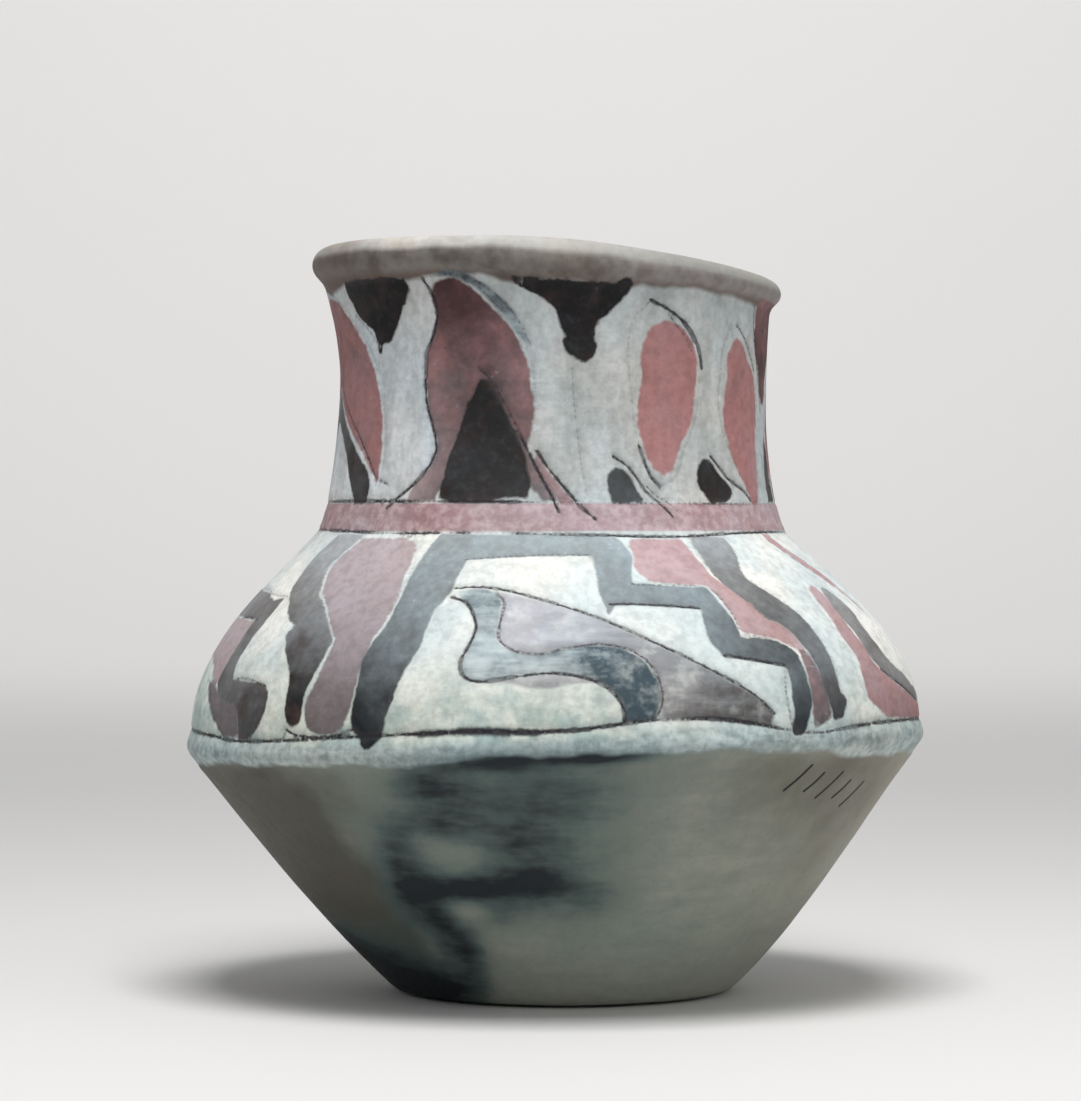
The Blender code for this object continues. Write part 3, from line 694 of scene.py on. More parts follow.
def all_patches():
    """Every painted patch of the vase, front and back."""
    patches = list(NECK_FRONT + NECK_RIGHT + SHOULDER_FRONT + WAVE)
    for paint, depth, tint, points in WIDE_ARCH:
        patches.append((paint, depth, tint, moved(points, WIDE_ARCH_MIDDLE)))
        deeper = (depth[0], RIGHT_ARCH_TOP_DEPTH) if paint == "red" else depth
        patches.append((paint, deeper, tint, moved(points, RIGHT_ARCH_MIDDLE)))
    patches += [flipped(patch, BACK_NECK_TURN) for patch in NECK_FRONT[:-1]]
    patches.append(flipped(NECK_FRONT[-1], BACK_LAST_LENS_TURN))
    patches += [flipped(patch, BACK_SHOULDER_TURN) for patch in SHOULDER_FRONT + (BACK_FIELD,)]
    return patches


def all_lines():
    """Every pressed line of the vase that has two ends."""
    lines = list(NECK_LINES + SHOULDER_LINES + WAVE_LINES)
    for middle in (WIDE_ARCH_MIDDLE, RIGHT_ARCH_MIDDLE):
        lines += [(ink, depth, moved(points, middle)) for ink, depth, points in WIDE_ARCH_LINES]
    plainer = [line for line in NECK_LINES if line[2][0][0] < BACK_LINES_END and line[1] >= BACK_DEPTH]
    lines += [(ink, depth, moved(points, BACK_NECK_TURN, -1.0)) for ink, depth, points in plainer]
    lines += [(ink, depth, moved(points, BACK_SHOULDER_TURN, -1.0)) for ink, depth, points in SHOULDER_LINES]
    for angle, height, half_height, lean in STROKES:
        ends = ((angle + lean, height + half_height), (angle - lean, height - half_height))
        lines.append((PEN, 0.0, (ends[0], (angle + STROKE_BOW, height), ends[1])))
    return lines


def as_run(points):
    """Rows of angles in radians and runs along the section, for rows of degrees and heights."""
    return np.stack((np.radians(points[:, 0]), run_at(points[:, 1])), 1)


def resampled(path, spacing, closed=False):
    """The path's points put at an even spacing in true millimetres."""
    if closed:
        path = np.vstack((path, path[:1]))
    step = np.diff(path, axis=0)
    step[:, 0] *= radius_at_run(path[:-1, 1])
    along = np.concatenate(([0.0], np.cumsum(np.hypot(step[:, 0], step[:, 1]))))
    count = max(2, int(round(along[-1] / spacing)))
    wanted = np.linspace(0, along[-1], count + 1)
    if closed:
        wanted = wanted[:-1]
    even = np.stack((np.interp(wanted, along, path[:, 0]), np.interp(wanted, along, path[:, 1])), 1)
    return even, wanted


def line_paths():
    """(inks, depth, even points, distances along) of each pressed line and ring."""
    paths = []
    for ink, depth, points in all_lines():
        even, along = resampled(as_run(smooth_path(points)), LINE_SPACING)
        paths.append((np.full(len(even), ink), depth, even, along))
    for depth, points in RINGS:
        even, along = resampled(as_run(smooth_path(points)), LINE_SPACING)
        even[0, 0], even[-1, 0] = -math.pi, math.pi
        angles, _, inks = np.array(points, float).T
        paths.append((np.interp(np.degrees(even[:, 0]), angles, inks), depth, even, along))
    return paths


def beside(path, offset):
    """The path moved sideways along the wall by an offset in millimetres."""
    radius = radius_at_run(path[:, 1])
    along = np.gradient(path, axis=0)
    along[:, 0] *= radius
    along /= np.linalg.norm(along, axis=1)[:, None] + 1e-9
    return path + np.stack((-along[:, 1] / radius, along[:, 0]), 1) * offset


def wrapped(angle):
    return (angle + math.pi) % (2 * math.pi) - math.pi


def turned_near(angle, middle):
    """Angles moved by whole turns to lie within half a turn of a middle."""
    return angle - 2 * math.pi * np.round((angle - middle) / (2 * math.pi))


def mesh_points(paths, outlines, low, high):
    """Angles and runs for the painted wall's vertices: rows along lines and outlines, and an even grid."""
    taken = set()
    chosen = []

    def cell(angle, run, size):
        return int(math.floor(angle * FLAT_RADIUS / size)), int(math.floor(run / size))

    def near(angle, run, size, cells):
        column, row = cell(angle, run, size)
        return any((column + i, row + j) in cells for i in (-1, 0, 1) for j in (-1, 0, 1))

    def offer(points, busy):
        for angle, run in points:
            angle = float(wrapped(angle))
            if not low + EDGE_CLEAR < run < high - EDGE_CLEAR or abs(angle) > math.pi - SEAM_CLEAR:
                continue
            spot = cell(angle, run, CLOSEST)
            close = [(spot[0] + i, spot[1] + j) for i, j in ((0, 0), (1, 0), (-1, 0), (0, 1), (0, -1))]
            if any(c in taken for c in close):
                continue
            taken.add(spot)
            chosen.append((angle, run))
            busy.add(cell(angle, run, KEPT_CLEAR))

    busy = set()
    for offset in LINE_OFFSETS:
        for _, _, even, _ in paths:
            offer(beside(even, offset), busy)
    for outline in outlines:
        offer(resampled(outline, OUTLINE_SPACING, True)[0], busy)
    row = 0
    run = low + FINE_SPACING
    while run < high - FINE_SPACING * 0.5:
        count = int(round(2 * math.pi * radius_at_run(run) / FINE_SPACING))
        angles = -math.pi + 2 * math.pi * (np.arange(count) + 0.5 * (row % 2) + 0.25) / count
        for angle in angles:
            if abs(angle) < math.pi - GRID_SEAM_CLEAR and not near(angle, run, KEPT_CLEAR, busy):
                chosen.append((float(angle), float(run)))
        run += ROW_SPACING
        row += 1
    return chosen


def painted_wall(paths, outlines):
    """Vertices (angle, run) and triangles of the painted stretch all round, and its two ends' runs."""
    low, high = float(run_at(PAINTED_FOOT)), float(run_at(PAINTED_TOP))
    ring = -math.pi + 2 * math.pi * np.arange(COLUMNS + 1) / COLUMNS
    seam_count = int(round((high - low) / FINE_SPACING))
    seam = low + (high - low) * np.arange(1, seam_count) / seam_count
    places = [(a, low) for a in ring] + [(a, high) for a in ring]
    places += [(-math.pi, r) for r in seam] + [(math.pi, r) for r in seam]
    places += mesh_points(paths, outlines, low, high)
    flat_points = [Vector((a * FLAT_RADIUS, r)) for a, r in places]
    edges = [(start + i, start + i + 1) for start in (0, COLUMNS + 1) for i in range(COLUMNS)]
    vertices, _, faces, _, _, _ = delaunay_2d_cdt(flat_points, edges, [], 0, 1e-5)
    angle_run = np.array([(v.x / FLAT_RADIUS, v.y) for v in vertices])
    first_of = {}
    merged = np.arange(len(angle_run))
    for index, (angle, run) in enumerate(angle_run):
        if angle > math.pi - 1e-4:
            merged[index] = -1
        elif angle < -math.pi + 1e-4:
            first_of[round(run, 3)] = index
    for index in np.where(merged < 0)[0]:
        merged[index] = first_of[round(angle_run[index, 1], 3)]
    triangles = merged[np.array(faces)]
    return angle_run, triangles, low, high


def field_of(outline, angle, run):
    """Millimetres inside an outline, below 0 outside, at the points near it: (indices, distances)."""
    middle = (outline[:, 0].min() + outline[:, 0].max()) / 2
    near = turned_near(angle, middle)
    radius = radius_at_run(run)
    wide = FIELD_REACH / radius
    hit = (near > outline[:, 0].min() - wide) & (near < outline[:, 0].max() + wide)
    hit &= (run > outline[:, 1].min() - FIELD_REACH) & (run < outline[:, 1].max() + FIELD_REACH)
    index = np.where(hit)[0]
    if not len(index):
        return index, np.zeros(0)
    scale = np.stack((radius[index], np.ones(len(index))), 1)[:, None, :]
    point = np.stack((near[index], run[index]), 1)[:, None, :]
    start = (outline[None] - point) * scale
    end = (np.roll(outline, -1, axis=0)[None] - point) * scale
    step = end - start
    share = np.clip(-(start * step).sum(-1) / ((step * step).sum(-1) + 1e-12), 0, 1)
    distance = np.sqrt((((start + share[..., None] * step) ** 2).sum(-1)).min(1))
    crosses = (start[..., 1] > 0) != (end[..., 1] > 0)
    rise = np.where(np.abs(step[..., 1]) < 1e-9, 1e-9, step[..., 1])
    at = start[..., 0] - start[..., 1] * step[..., 0] / rise
    inside = (crosses & (at > 0)).sum(1) % 2 == 1
    return index, np.where(inside, distance, -distance)


def paint_fields(patches, outlines, angle, run):
    """For each paint, rows of (millimetres inside, depth, tint) at the wall's points."""
    fields = {paint: np.tile(NO_PAINT, (len(angle), 1)) for paint in ("black", "red", "wash")}
    for (paint, depth, tint, _), outline in zip(patches, outlines):
        index, inside = field_of(outline, angle, run)
        field = fields[paint]
        better = inside > field[index, 0]
        index, inside = index[better], np.clip(inside[better], -FIELD_REACH, FIELD_REACH)
        foot_depths, top_depths = np.array(depth, float).reshape(2, -1)
        (left, low), (right, high) = outline.min(0), outline.max(0)
        turned = turned_near(angle[index], (left + right) / 2)
        up = np.clip((run[index] - low) / (high - low), 0, 1)
        across = np.clip((turned - left) / (right - left), 0, 1)
        marks = np.linspace(0, 1, len(foot_depths))
        field[index, 0] = inside
        foot_depth, top_depth = np.interp(across, marks, foot_depths), np.interp(across, marks, top_depths)
        field[index, 1] = foot_depth * (1 - up) + top_depth * up
        foot_tint, top_tint = np.broadcast_to(tint, 2)
        field[index, 2] = foot_tint * (1 - up) + top_tint * up
    return fields


def line_fields(paths, places, on):
    """Rows of (distance to the nearest pressed line, run along it, its ink), and how deep each point is."""
    samples = sum(len(p[2]) for p in paths)
    tree = KDTree(samples)
    position, tangent, facts = [], [], []
    for inks, depth, even, along in paths:
        spot, _ = on_wall(even[:, 0], even[:, 1])
        position.append(spot)
        tangent.append(np.gradient(spot, axis=0))
        facts += [(ink, depth, a) for ink, a in zip(inks, along)]
    position = np.vstack(position)
    tangent = np.vstack(tangent)
    tangent /= np.linalg.norm(tangent, axis=1)[:, None]
    for index, spot in enumerate(position):
        tree.insert(spot, index)
    tree.balance()
    lines = np.tile(NO_LINE, (len(places), 1))
    pressed = np.zeros(len(places))
    for row in on:
        _, index, distance = tree.find(places[row])
        if distance > LINE_REACH:
            continue
        away = places[row] - position[index]
        forward = float(away @ tangent[index])
        beyond_end = abs(forward) >= END_REACH
        across = distance if beyond_end else math.sqrt(max(0.0, distance * distance - forward * forward))
        ink, depth, along = facts[index]
        at = along + forward
        lines[row] = (across, at, ink)
        beaded = BEAD_SHARE - BEAD_LOSS * min(1.0, ink)
        twist = (at + BEAD_DRIFT[0] * math.sin(at / BEAD_DRIFT[1])) / CORD_TWIST
        bead = 1 - beaded + beaded * math.cos(2 * math.pi * twist)
        bead *= LINE_SWELL[0] + LINE_SWELL[1] * math.sin(at / LINE_SWELL[2] + index)
        hollow = math.exp(-((across / GROOVE_HALF_WIDTH) ** 2)) * depth * bead
        brow = BROW_SHARE * depth * math.exp(-(((across - BROW_PLACE) / BROW_HALF_WIDTH) ** 2))
        pressed[row] = hollow - brow
    return lines, pressed


def stain_field(stains, angle, height):
    """How strongly a list of soft stains marks the wall at angles in radians and heights."""
    marked = np.zeros(len(angle))
    for middle, level, half_width, half_height, strength in stains:
        across = np.degrees(wrapped(angle - math.radians(middle))) / half_width
        up = (height - level) / half_height
        marked += strength * np.exp(-(across**2 + up**2) * STAIN_FADE)
    return marked


def wobble(places):
    """How far the hand-smoothed wall lies in from its true form in mm, never outwards, less at the lip."""
    dents = np.zeros(len(places))
    for size, depth in DENTS:
        for row, place in enumerate(places):
            dents[row] += depth * (0.5 + 0.5 * max(-1.0, min(1.0, noise.noise(Vector(place) / size))))
    return dents * (1 - 0.5 * smooth_share(places[:, 2], *DENTS_CALM))


def vase_mesh():
    """The vase as one closed mesh with the fields that its paint reads."""
    patches = all_patches()
    outlines = [as_run(smooth_path(points, closed=True)) for _, _, _, points in patches]
    paths = line_paths()
    painted, triangles, low, high = painted_wall(paths, outlines)

    angle, run, ring_start = [painted[:, 0]], [painted[:, 1]], len(painted)

    def nearest_ring(value):
        rows = []
        for turn in RING_ANGLES:
            rows.append(np.argmin(np.abs(painted[:, 0] - turn) + np.abs(painted[:, 1] - value)))
        return np.array(rows)

    foot_ring, top_ring = nearest_ring(low), nearest_ring(high)
    faces = [triangles]

    def rings(runs, joined, upwards):
        """Adds rings of vertices at runs from a joined ring onwards, with the faces between them."""
        nonlocal ring_start
        bands, last = ring_bands(joined, ring_start, len(runs), upwards)
        ring_start += COLUMNS * len(runs)
        angle.extend([RING_ANGLES] * len(runs))
        run.extend([np.full(COLUMNS, value) for value in runs])
        faces.extend(bands)
        return last

    down_count = int(round(low / WALL_RING_SPACING))
    heel = rings(low * (1 - (np.arange(down_count) + 1) / down_count), foot_ring, False)
    lip_end = OUTER_RUN[-1]
    up_count = int(round((lip_end - high) / LIP_RING_SPACING))
    crest = rings(high + (lip_end - high) * (np.arange(up_count) + 1) / up_count, top_ring, True)
    angle, run = np.concatenate(angle), np.concatenate(run)
    places, out = on_wall(angle, run)
    height = height_at_run(run)

    on_painted = np.where((run > low - 2) & (run < high + 2))[0]
    lines, pressed = line_fields(paths, places, on_painted)
    fields = paint_fields(patches, outlines, angle, run)
    slip_low = np.interp(np.degrees(angle), *np.array(SLIP_FOOT, float).T)
    slip_high = np.interp(np.degrees(angle), *np.array(SLIP_TOP, float).T)
    slip = np.clip(np.minimum(height - slip_low, slip_high - height), -FIELD_REACH, FIELD_REACH)
    smoke = stain_field(SMOKE, angle, height)
    scorch = stain_field(SCORCH, angle, height)
    places = places - out * (pressed + wobble(places))[:, None]

    inner_places, inner_faces, inner_count = inside_and_floor(crest, ring_start)
    under_places, under_faces = underside(heel, ring_start + inner_count, places[heel])
    faces += inner_faces + under_faces
    everything = np.vstack((places, inner_places, under_places))
    extra = len(everything) - len(places)
    inner_ground = np.tile(INSIDE_GROUND, (inner_count, 1))
    under_ground = np.tile(UNDERSIDE_GROUND, (len(under_places), 1))

    def padded(rows, filler):
        return np.vstack((rows, np.tile(filler, (extra, 1))))

    attributes = {f"{paint}_paint": padded(rows, NO_PAINT) for paint, rows in fields.items()}
    attributes["pressed_line"] = padded(lines, NO_LINE)
    attributes["scorch"] = padded(scorch[:, None] * (1.0, 0.0, 0.0), (0.0, 0.0, 0.0))
    attributes["ground"] = np.vstack((np.stack((slip, smoke, height), 1), inner_ground, under_ground))
    return everything, np.vstack(faces), attributes


def quad_triangles(lower, upper):
    """Triangles of the band between two rings, wound so that it faces outwards when upper is above lower."""
    a, b = lower, np.roll(lower, -1)
    c, d = np.roll(upper, -1), upper
    return np.vstack((np.stack((a, b, c), 1), np.stack((a, c, d), 1)))


def ring_bands(joined, start, count, upwards):
    """The faces from a joined ring through new ones, with vertices numbered from start, and the last ring."""
    bands, last = [], joined
    for number in range(count):
        ring = start + number * COLUMNS + np.arange(COLUMNS)
        bands.append(quad_triangles(last, ring) if upwards else quad_triangles(ring, last))
        last = ring
    return bands, last


def inside_and_floor(crest, start):
    """The inside from the crest ring to the middle of the floor."""
    rows = np.vstack([placed(RING_ANGLES, *np.tile(point, (COLUMNS, 1)).T) for point in INNER])
    faces, last = ring_bands(crest, start, len(INNER), True)
    middle = start + len(rows)
    faces.append(np.stack((last, np.roll(last, -1), np.full(COLUMNS, middle)), 1))
    rows = np.vstack((rows, rows[-COLUMNS:].mean(0)))
    rows[:-1, 2] -= wobble(rows)[:-1] * INSIDE_DENTS
    return rows, faces, len(rows)


def underside(heel, start, heel_places):
    """The flat underside, from the heel's ring to its middle."""
    middle = heel_places.mean(0)
    rows = np.vstack([middle + (heel_places - middle) * share for share in UNDERSIDE_RINGS])
    rows[:, 2] = 0.0
    faces, last = ring_bands(heel, start, len(UNDERSIDE_RINGS), False)
    faces.append(np.stack((np.roll(last, -1), last, np.full(COLUMNS, start + len(rows))), 1))
    return np.vstack((rows, (middle[0], middle[1], 0.0))), faces


def in_scene(name, data):
    """A new object of the scene that holds the data."""
    added = bpy.data.objects.new(name, data)
    bpy.context.scene.collection.objects.link(added)
    return added


def vase_piece(material):
    """The painted vase as one object."""
    places, faces, attributes = vase_mesh()
    places[:, 2] = np.maximum(places[:, 2], 0.0)
    mesh = bpy.data.meshes.new("painted_vase")
    mesh.from_pydata((places * MM).tolist(), [], faces.tolist())
    for name, rows in attributes.items():
        layer = mesh.attributes.new(name, "FLOAT_VECTOR", "POINT")
        layer.data.foreach_set("vector", rows.astype(np.float32).ravel())
    mesh.validate()
    mesh.shade_smooth()
    mesh.materials.append(material)
    return in_scene("painted_vase", mesh)


class Nodes:
    """Short forms for the nodes of one material."""

    def __init__(self, name):
        self.material = bpy.data.materials.new(name)
        self.material.use_nodes = True
        self.tree = self.material.node_tree
        self.shader = self.tree.nodes["Principled BSDF"]

    def add(self, kind, **settings):
        node = self.tree.nodes.new(kind)
        for key, value in settings.items():
            setattr(node, key, value)
        return node

    def join(self, value, socket):
        if isinstance(value, bpy.types.NodeSocket):
            self.tree.links.new(value, socket)
        elif isinstance(value, tuple) and len(value) == 3 and socket.type == "RGBA":
            socket.default_value = (*value, 1.0)
        else:
            socket.default_value = value

    def result(self, operation, a, b=0.0, clamp=False):
        """What an operation makes of one or two numbers."""
        node = self.add("ShaderNodeMath", operation=operation, use_clamp=clamp)
        self.join(a, node.inputs[0])
        self.join(b, node.inputs[1])
        return node.outputs[0]

    def plus(self, a, b, clamp=False):
        return self.result("ADD", a, b, clamp)

    def minus(self, a, b):
        return self.result("SUBTRACT", a, b)

    def times(self, a, b):
        return self.result("MULTIPLY", a, b)

    def mix(self, share, a, b, blend="MIX"):
        node = self.add("ShaderNodeMix", data_type="RGBA", blend_type=blend)
        self.join(share, node.inputs[0])
        self.join(a, node.inputs[6])
        self.join(b, node.inputs[7])
        return node.outputs[2]

    def between(self, value, low, high, start=0.0, end=1.0, smooth=True):
        node = self.add("ShaderNodeMapRange", interpolation_type="SMOOTHSTEP" if smooth else "LINEAR")
        for number, item in enumerate((value, low, high, start, end)):
            self.join(item, node.inputs[number])
        return node.outputs[0]

    def parts(self, attribute):
        """The three numbers that a field of the mesh holds."""
        source = self.add("ShaderNodeAttribute", attribute_type="GEOMETRY", attribute_name=attribute)
        split = self.add("ShaderNodeSeparateXYZ")
        self.join(source.outputs["Vector"], split.inputs[0])
        return split.outputs[0], split.outputs[1], split.outputs[2]

    def noise(self, place, scale, detail=3.0, roughness=0.6):
        """Soft noise about 0.5; scale is in turns per metre."""
        node = self.add("ShaderNodeTexNoise")
        self.join(place, node.inputs["Vector"])
        node.inputs["Scale"].default_value = scale
        node.inputs["Detail"].default_value = detail
        node.inputs["Roughness"].default_value = roughness
        return node.outputs["Fac"]

    def stretched(self, place, scale):
        """The place scaled differently along x, y and z."""
        node = self.add("ShaderNodeMapping")
        self.join(place, node.inputs["Vector"])
        node.inputs["Scale"].default_value = scale
        return node.outputs[0]


class VaseNodes(Nodes):
    """The vase's material, with the noise, places and fields that its layers of colour share."""

    def __init__(self):
        super().__init__("painted_clay")
        place = self.add("ShaderNodeTexCoord").outputs["Object"]
        axes = self.add("ShaderNodeSeparateXYZ")
        self.join(place, axes.inputs[0])
        self.across = axes.outputs[0]
        self.rightwards = self.between(self.across, 0.005, 0.035)
        self.grain = self.noise(place, 900.0, 2.0)
        self.fine = self.noise(place, 380.0)
        self.middling = self.noise(place, 120.0)
        self.broad = self.noise(place, 36.0, roughness=0.55)
        self.brushed = self.noise(self.stretched(place, (1.0, 1.0, 5.0)), 45.0, roughness=0.62)
        self.streaked = self.noise(self.stretched(place, (1.0, 1.0, 0.22)), 150.0)
        self.slip_in, smoke, self.height = self.parts("ground")
        cloudy = self.times(smoke, self.between(self.middling, 0.2, 0.8, 0.8, 1.2))
        self.cloudy = self.times(cloudy, self.between(self.brushed, 0.3, 0.7, 0.8, 1.16))
        # Ragged edges: the fields are moved by noise of two sizes.
        coarsely = self.between(self.middling, 0.25, 0.75, -0.42, 0.42)
        self.ragged = self.plus(coarsely, self.between(self.fine, 0.25, 0.75, -0.3, 0.3))

    def mottled(self, value, low, high, tint, other):
        """A tint that turns into another as a value goes from low to high."""
        return self.mix(self.between(value, low, high), tint, other)

    def layered(self, colour, *layers):
        """A colour under layers: what each follows, where that starts and is full, its most and its tint."""
        for value, low, high, most, tint in layers:
            colour = self.mix(self.between(value, low, high, 0.0, most), colour, tint)
        return colour


def bare_clay(n):
    """Fired clay with its scorch and smoke, its lip with dirt and painted light and shade, and its plain
    inside.
    """
    clay = n.mottled(n.brushed, 0.3, 0.7, (0.245, 0.26, 0.215), (0.325, 0.325, 0.265))
    clay = n.layered(
        clay,
        (n.broad, 0.3, 0.7, 0.8, (0.23, 0.285, 0.25)),
        (n.across, 0.03, 0.1, 0.75, (0.365, 0.335, 0.27)),
        (n.fine, 0.56, 0.78, 0.35, (0.15, 0.14, 0.115)),
    )
    clay = n.mix(n.between(n.height, 0.0, 22.0, 0.6, 0.0), clay, (0.42, 0.43, 0.37))
    scorched = n.times(n.parts("scorch")[0], n.between(n.broad, 0.25, 0.75, 0.7, 1.3))
    clay = n.layered(
        clay,
        (scorched, 0.0, 1.0, 0.92, (0.068, 0.06, 0.045)),
        (n.cloudy, 0.0, 0.6, 0.8, (0.062, 0.102, 0.10)),
        (n.cloudy, 0.3, 1.15, 0.97, (0.010, 0.014, 0.018)),
    )
    clay = n.mix(n.between(n.height, 198.0, 200.0), clay, shaded_grimy_lip(n))
    inside = n.mix(n.broad, (0.34, 0.29, 0.23), (0.22, 0.20, 0.17))
    return n.mix(n.between(n.height, 222.0, 228.0), clay, inside)


def shaded_grimy_lip(n):
    """The lip's clay, pale on top and darker to the right, with dirt and painted shade on its outside."""
    # Pale on top: partly the clay, partly a painted highlight where the rounded crest faces the light.
    lip = n.mottled(n.middling, 0.35, 0.7, (0.65, 0.625, 0.58), (0.47, 0.43, 0.39))
    lip = n.mix(n.between(n.across, -0.06, 0.04, 0.0, 0.78, False), lip, (0.235, 0.225, 0.205))
    # The lip's outside faces down: its dark tones are partly dirt, partly painted shade.
    grime_and_shade = n.mottled(n.middling, 0.3, 0.7, (0.225, 0.205, 0.18), (0.105, 0.085, 0.075))
    right_grime_and_shade = n.mottled(n.middling, 0.3, 0.7, (0.33, 0.30, 0.285), (0.20, 0.165, 0.155))
    grime_and_shade_top = n.between(n.rightwards, 0.0, 1.0, 211.9, 210.9, False)
    uneven = n.plus(n.height, n.between(n.broad, 0.3, 0.7, -0.4, 0.4))
    grimy_and_shaded = n.between(n.minus(uneven, grime_and_shade_top), -0.5, 1.3, 0.95, 0.0)
    lip = n.mix(grimy_and_shaded, lip, n.mix(n.rightwards, grime_and_shade, right_grime_and_shade))
    # Painted shadow along the lip's foot, where it overhangs the neck.
    lip = n.mix(n.between(n.height, 205.6, 208.2, 0.75, 0.0), lip, (0.12, 0.08, 0.065))
    return n.layered(lip, (n.across, -0.046, -0.064, 0.55, (0.13, 0.10, 0.085)))


def white_slip(n):
    """White slip, thin and greenish in places, smoky low down and greyer on the ridge."""
    slip = n.layered(
        n.mottled(n.broad, 0.3, 0.7, (0.63, 0.68, 0.66), (0.83, 0.83, 0.80)),
        (n.middling, 0.5, 0.72, 0.4, (0.50, 0.545, 0.52)),
        (n.brushed, 0.5, 0.75, 0.35, (0.52, 0.57, 0.52)),
        (n.fine, 0.56, 0.75, 0.4, (0.40, 0.40, 0.36)),
    )
    ridge = n.times(n.between(n.height, 78.0, 81.5, 1.0, 0.0), 0.88)
    daubed = n.plus(n.times(n.brushed, 0.6), n.times(n.fine, 0.4))
    slip = n.mix(ridge, slip, n.mottled(daubed, 0.36, 0.64, (0.205, 0.27, 0.27), (0.42, 0.485, 0.47)))
    slip = n.layered(slip, (n.cloudy, 0.1, 0.9, 0.55, (0.12, 0.17, 0.18)))
    # Darker low on the shoulder and more on the left: partly the slip, partly painted shade.
    low = n.times(n.between(n.height, 82.0, 112.0, 1.0, 0.0), n.between(n.height, 76.0, 80.0))
    low = n.times(low, n.between(n.rightwards, 0.0, 1.0, 0.8, 0.35))
    slip = n.mix(low, slip, n.mottled(n.middling, 0.35, 0.65, (0.36, 0.47, 0.44), (0.58, 0.62, 0.55)))
    return n.mix(n.times(n.between(n.height, 143.0, 150.0), 0.8), slip, neck_slip(n))


def neck_slip(n):
    """The neck's streaked slip, greyer than the shoulder's and chalkier on the left, though less so near the
    lip.
    """
    streaks = n.plus(n.times(n.streaked, 0.6), n.times(n.middling, 0.4))
    # Its grey is partly the slip's own, partly painted shade of the upright neck under the lip.
    plain = n.mottled(streaks, 0.38, 0.62, (0.54, 0.56, 0.56), (0.36, 0.375, 0.36))
    chalky = n.mottled(streaks, 0.38, 0.62, (0.74, 0.78, 0.82), (0.50, 0.53, 0.55))
    leftwards = n.between(n.across, -0.014, -0.036)
    # Less chalky towards the lip: partly a painted shadow of the lip.
    return n.mix(n.times(leftwards, n.between(n.height, 190.0, 202.0, 0.95, 0.3)), plain, chalky)


def washed(n, colour):
    """Grey and blue washes over a colour, the blue one broken by the brush."""
    inside, depth, brownness = n.parts("wash_paint")
    mask = n.between(n.plus(n.plus(inside, 0.2), n.ragged), -0.7, 0.7)
    broken = n.plus(n.between(n.brushed, 0.3, 0.7, -0.35, 0.35), n.between(n.fine, 0.3, 0.7, -0.25, 0.25))
    blue_depth = n.plus(depth, n.times(broken, 0.95), True)
    blue = n.mix(blue_depth, (0.50, 0.58, 0.60), (0.055, 0.085, 0.105))
    brown_depth = n.plus(depth, n.times(broken, 0.35), True)
    brown = n.mottled(brown_depth, 0.0, 0.5, (0.51, 0.52, 0.56), (0.29, 0.295, 0.305))
    brown = n.mottled(brown_depth, 0.5, 1.0, brown, (0.10, 0.09, 0.085))
    wear = n.between(n.plus(n.middling, n.times(n.fine, 0.5)), 0.70, 1.0, 1.0, 0.7)
    return n.mix(n.times(mask, wear), colour, n.mottled(brownness, -0.5, 0.1, blue, brown))


def with_collar(n, colour):
    """A colour with the pink collar, a band with no outline of its own but the two rings."""
    band = n.times(n.between(n.height, 136.4, 137.2), n.between(n.height, 144.4, 145.1, 1.0, 0.0))
    pink = n.mottled(n.broad, 0.35, 0.65, (0.46, 0.32, 0.335), (0.38, 0.225, 0.24))
    pink = n.layered(pink, (n.middling, 0.5, 0.75, 0.4, (0.36, 0.29, 0.31)))
    return n.mix(n.times(band, n.between(n.fine, 0.35, 0.8, 0.98, 0.75)), colour, pink)


def reddened(n, colour):
    """Reds over a colour, from pale pink to maroon, some gone grey."""
    inside, depth, greyness = n.parts("red_paint")
    mask = n.between(n.plus(n.plus(inside, 0.35), n.times(n.ragged, -0.8)), -0.55, 0.55)
    depth = n.plus(depth, n.between(n.broad, 0.3, 0.7, -0.12, 0.12, False))
    depth = n.plus(depth, n.between(n.middling, 0.3, 0.7, -0.09, 0.09, False), True)
    greyness = n.plus(greyness, n.between(n.middling, 0.35, 0.7, -0.18, 0.25, False), True)
    pink = n.mottled(depth, 0.0, 0.5, (0.52, 0.345, 0.345), (0.42, 0.205, 0.20))
    pink = n.mottled(depth, 0.5, 1.0, pink, (0.075, 0.032, 0.036))
    grey = n.mottled(depth, 0.0, 0.7, (0.455, 0.385, 0.40), (0.115, 0.112, 0.116))
    grey = n.mottled(depth, 0.7, 1.0, grey, (0.066, 0.046, 0.049))
    red = n.mix(n.times(greyness, 0.92), pink, grey)
    red = n.layered(red, (n.fine, 0.5, 0.8, 0.3, n.mix(0.5, red, (0.16, 0.10, 0.09))))
    wear = n.between(n.plus(n.fine, n.times(n.grain, 0.4)), 0.84, 1.1, 1.0, 0.7)
    return n.mix(n.times(mask, wear), colour, red)


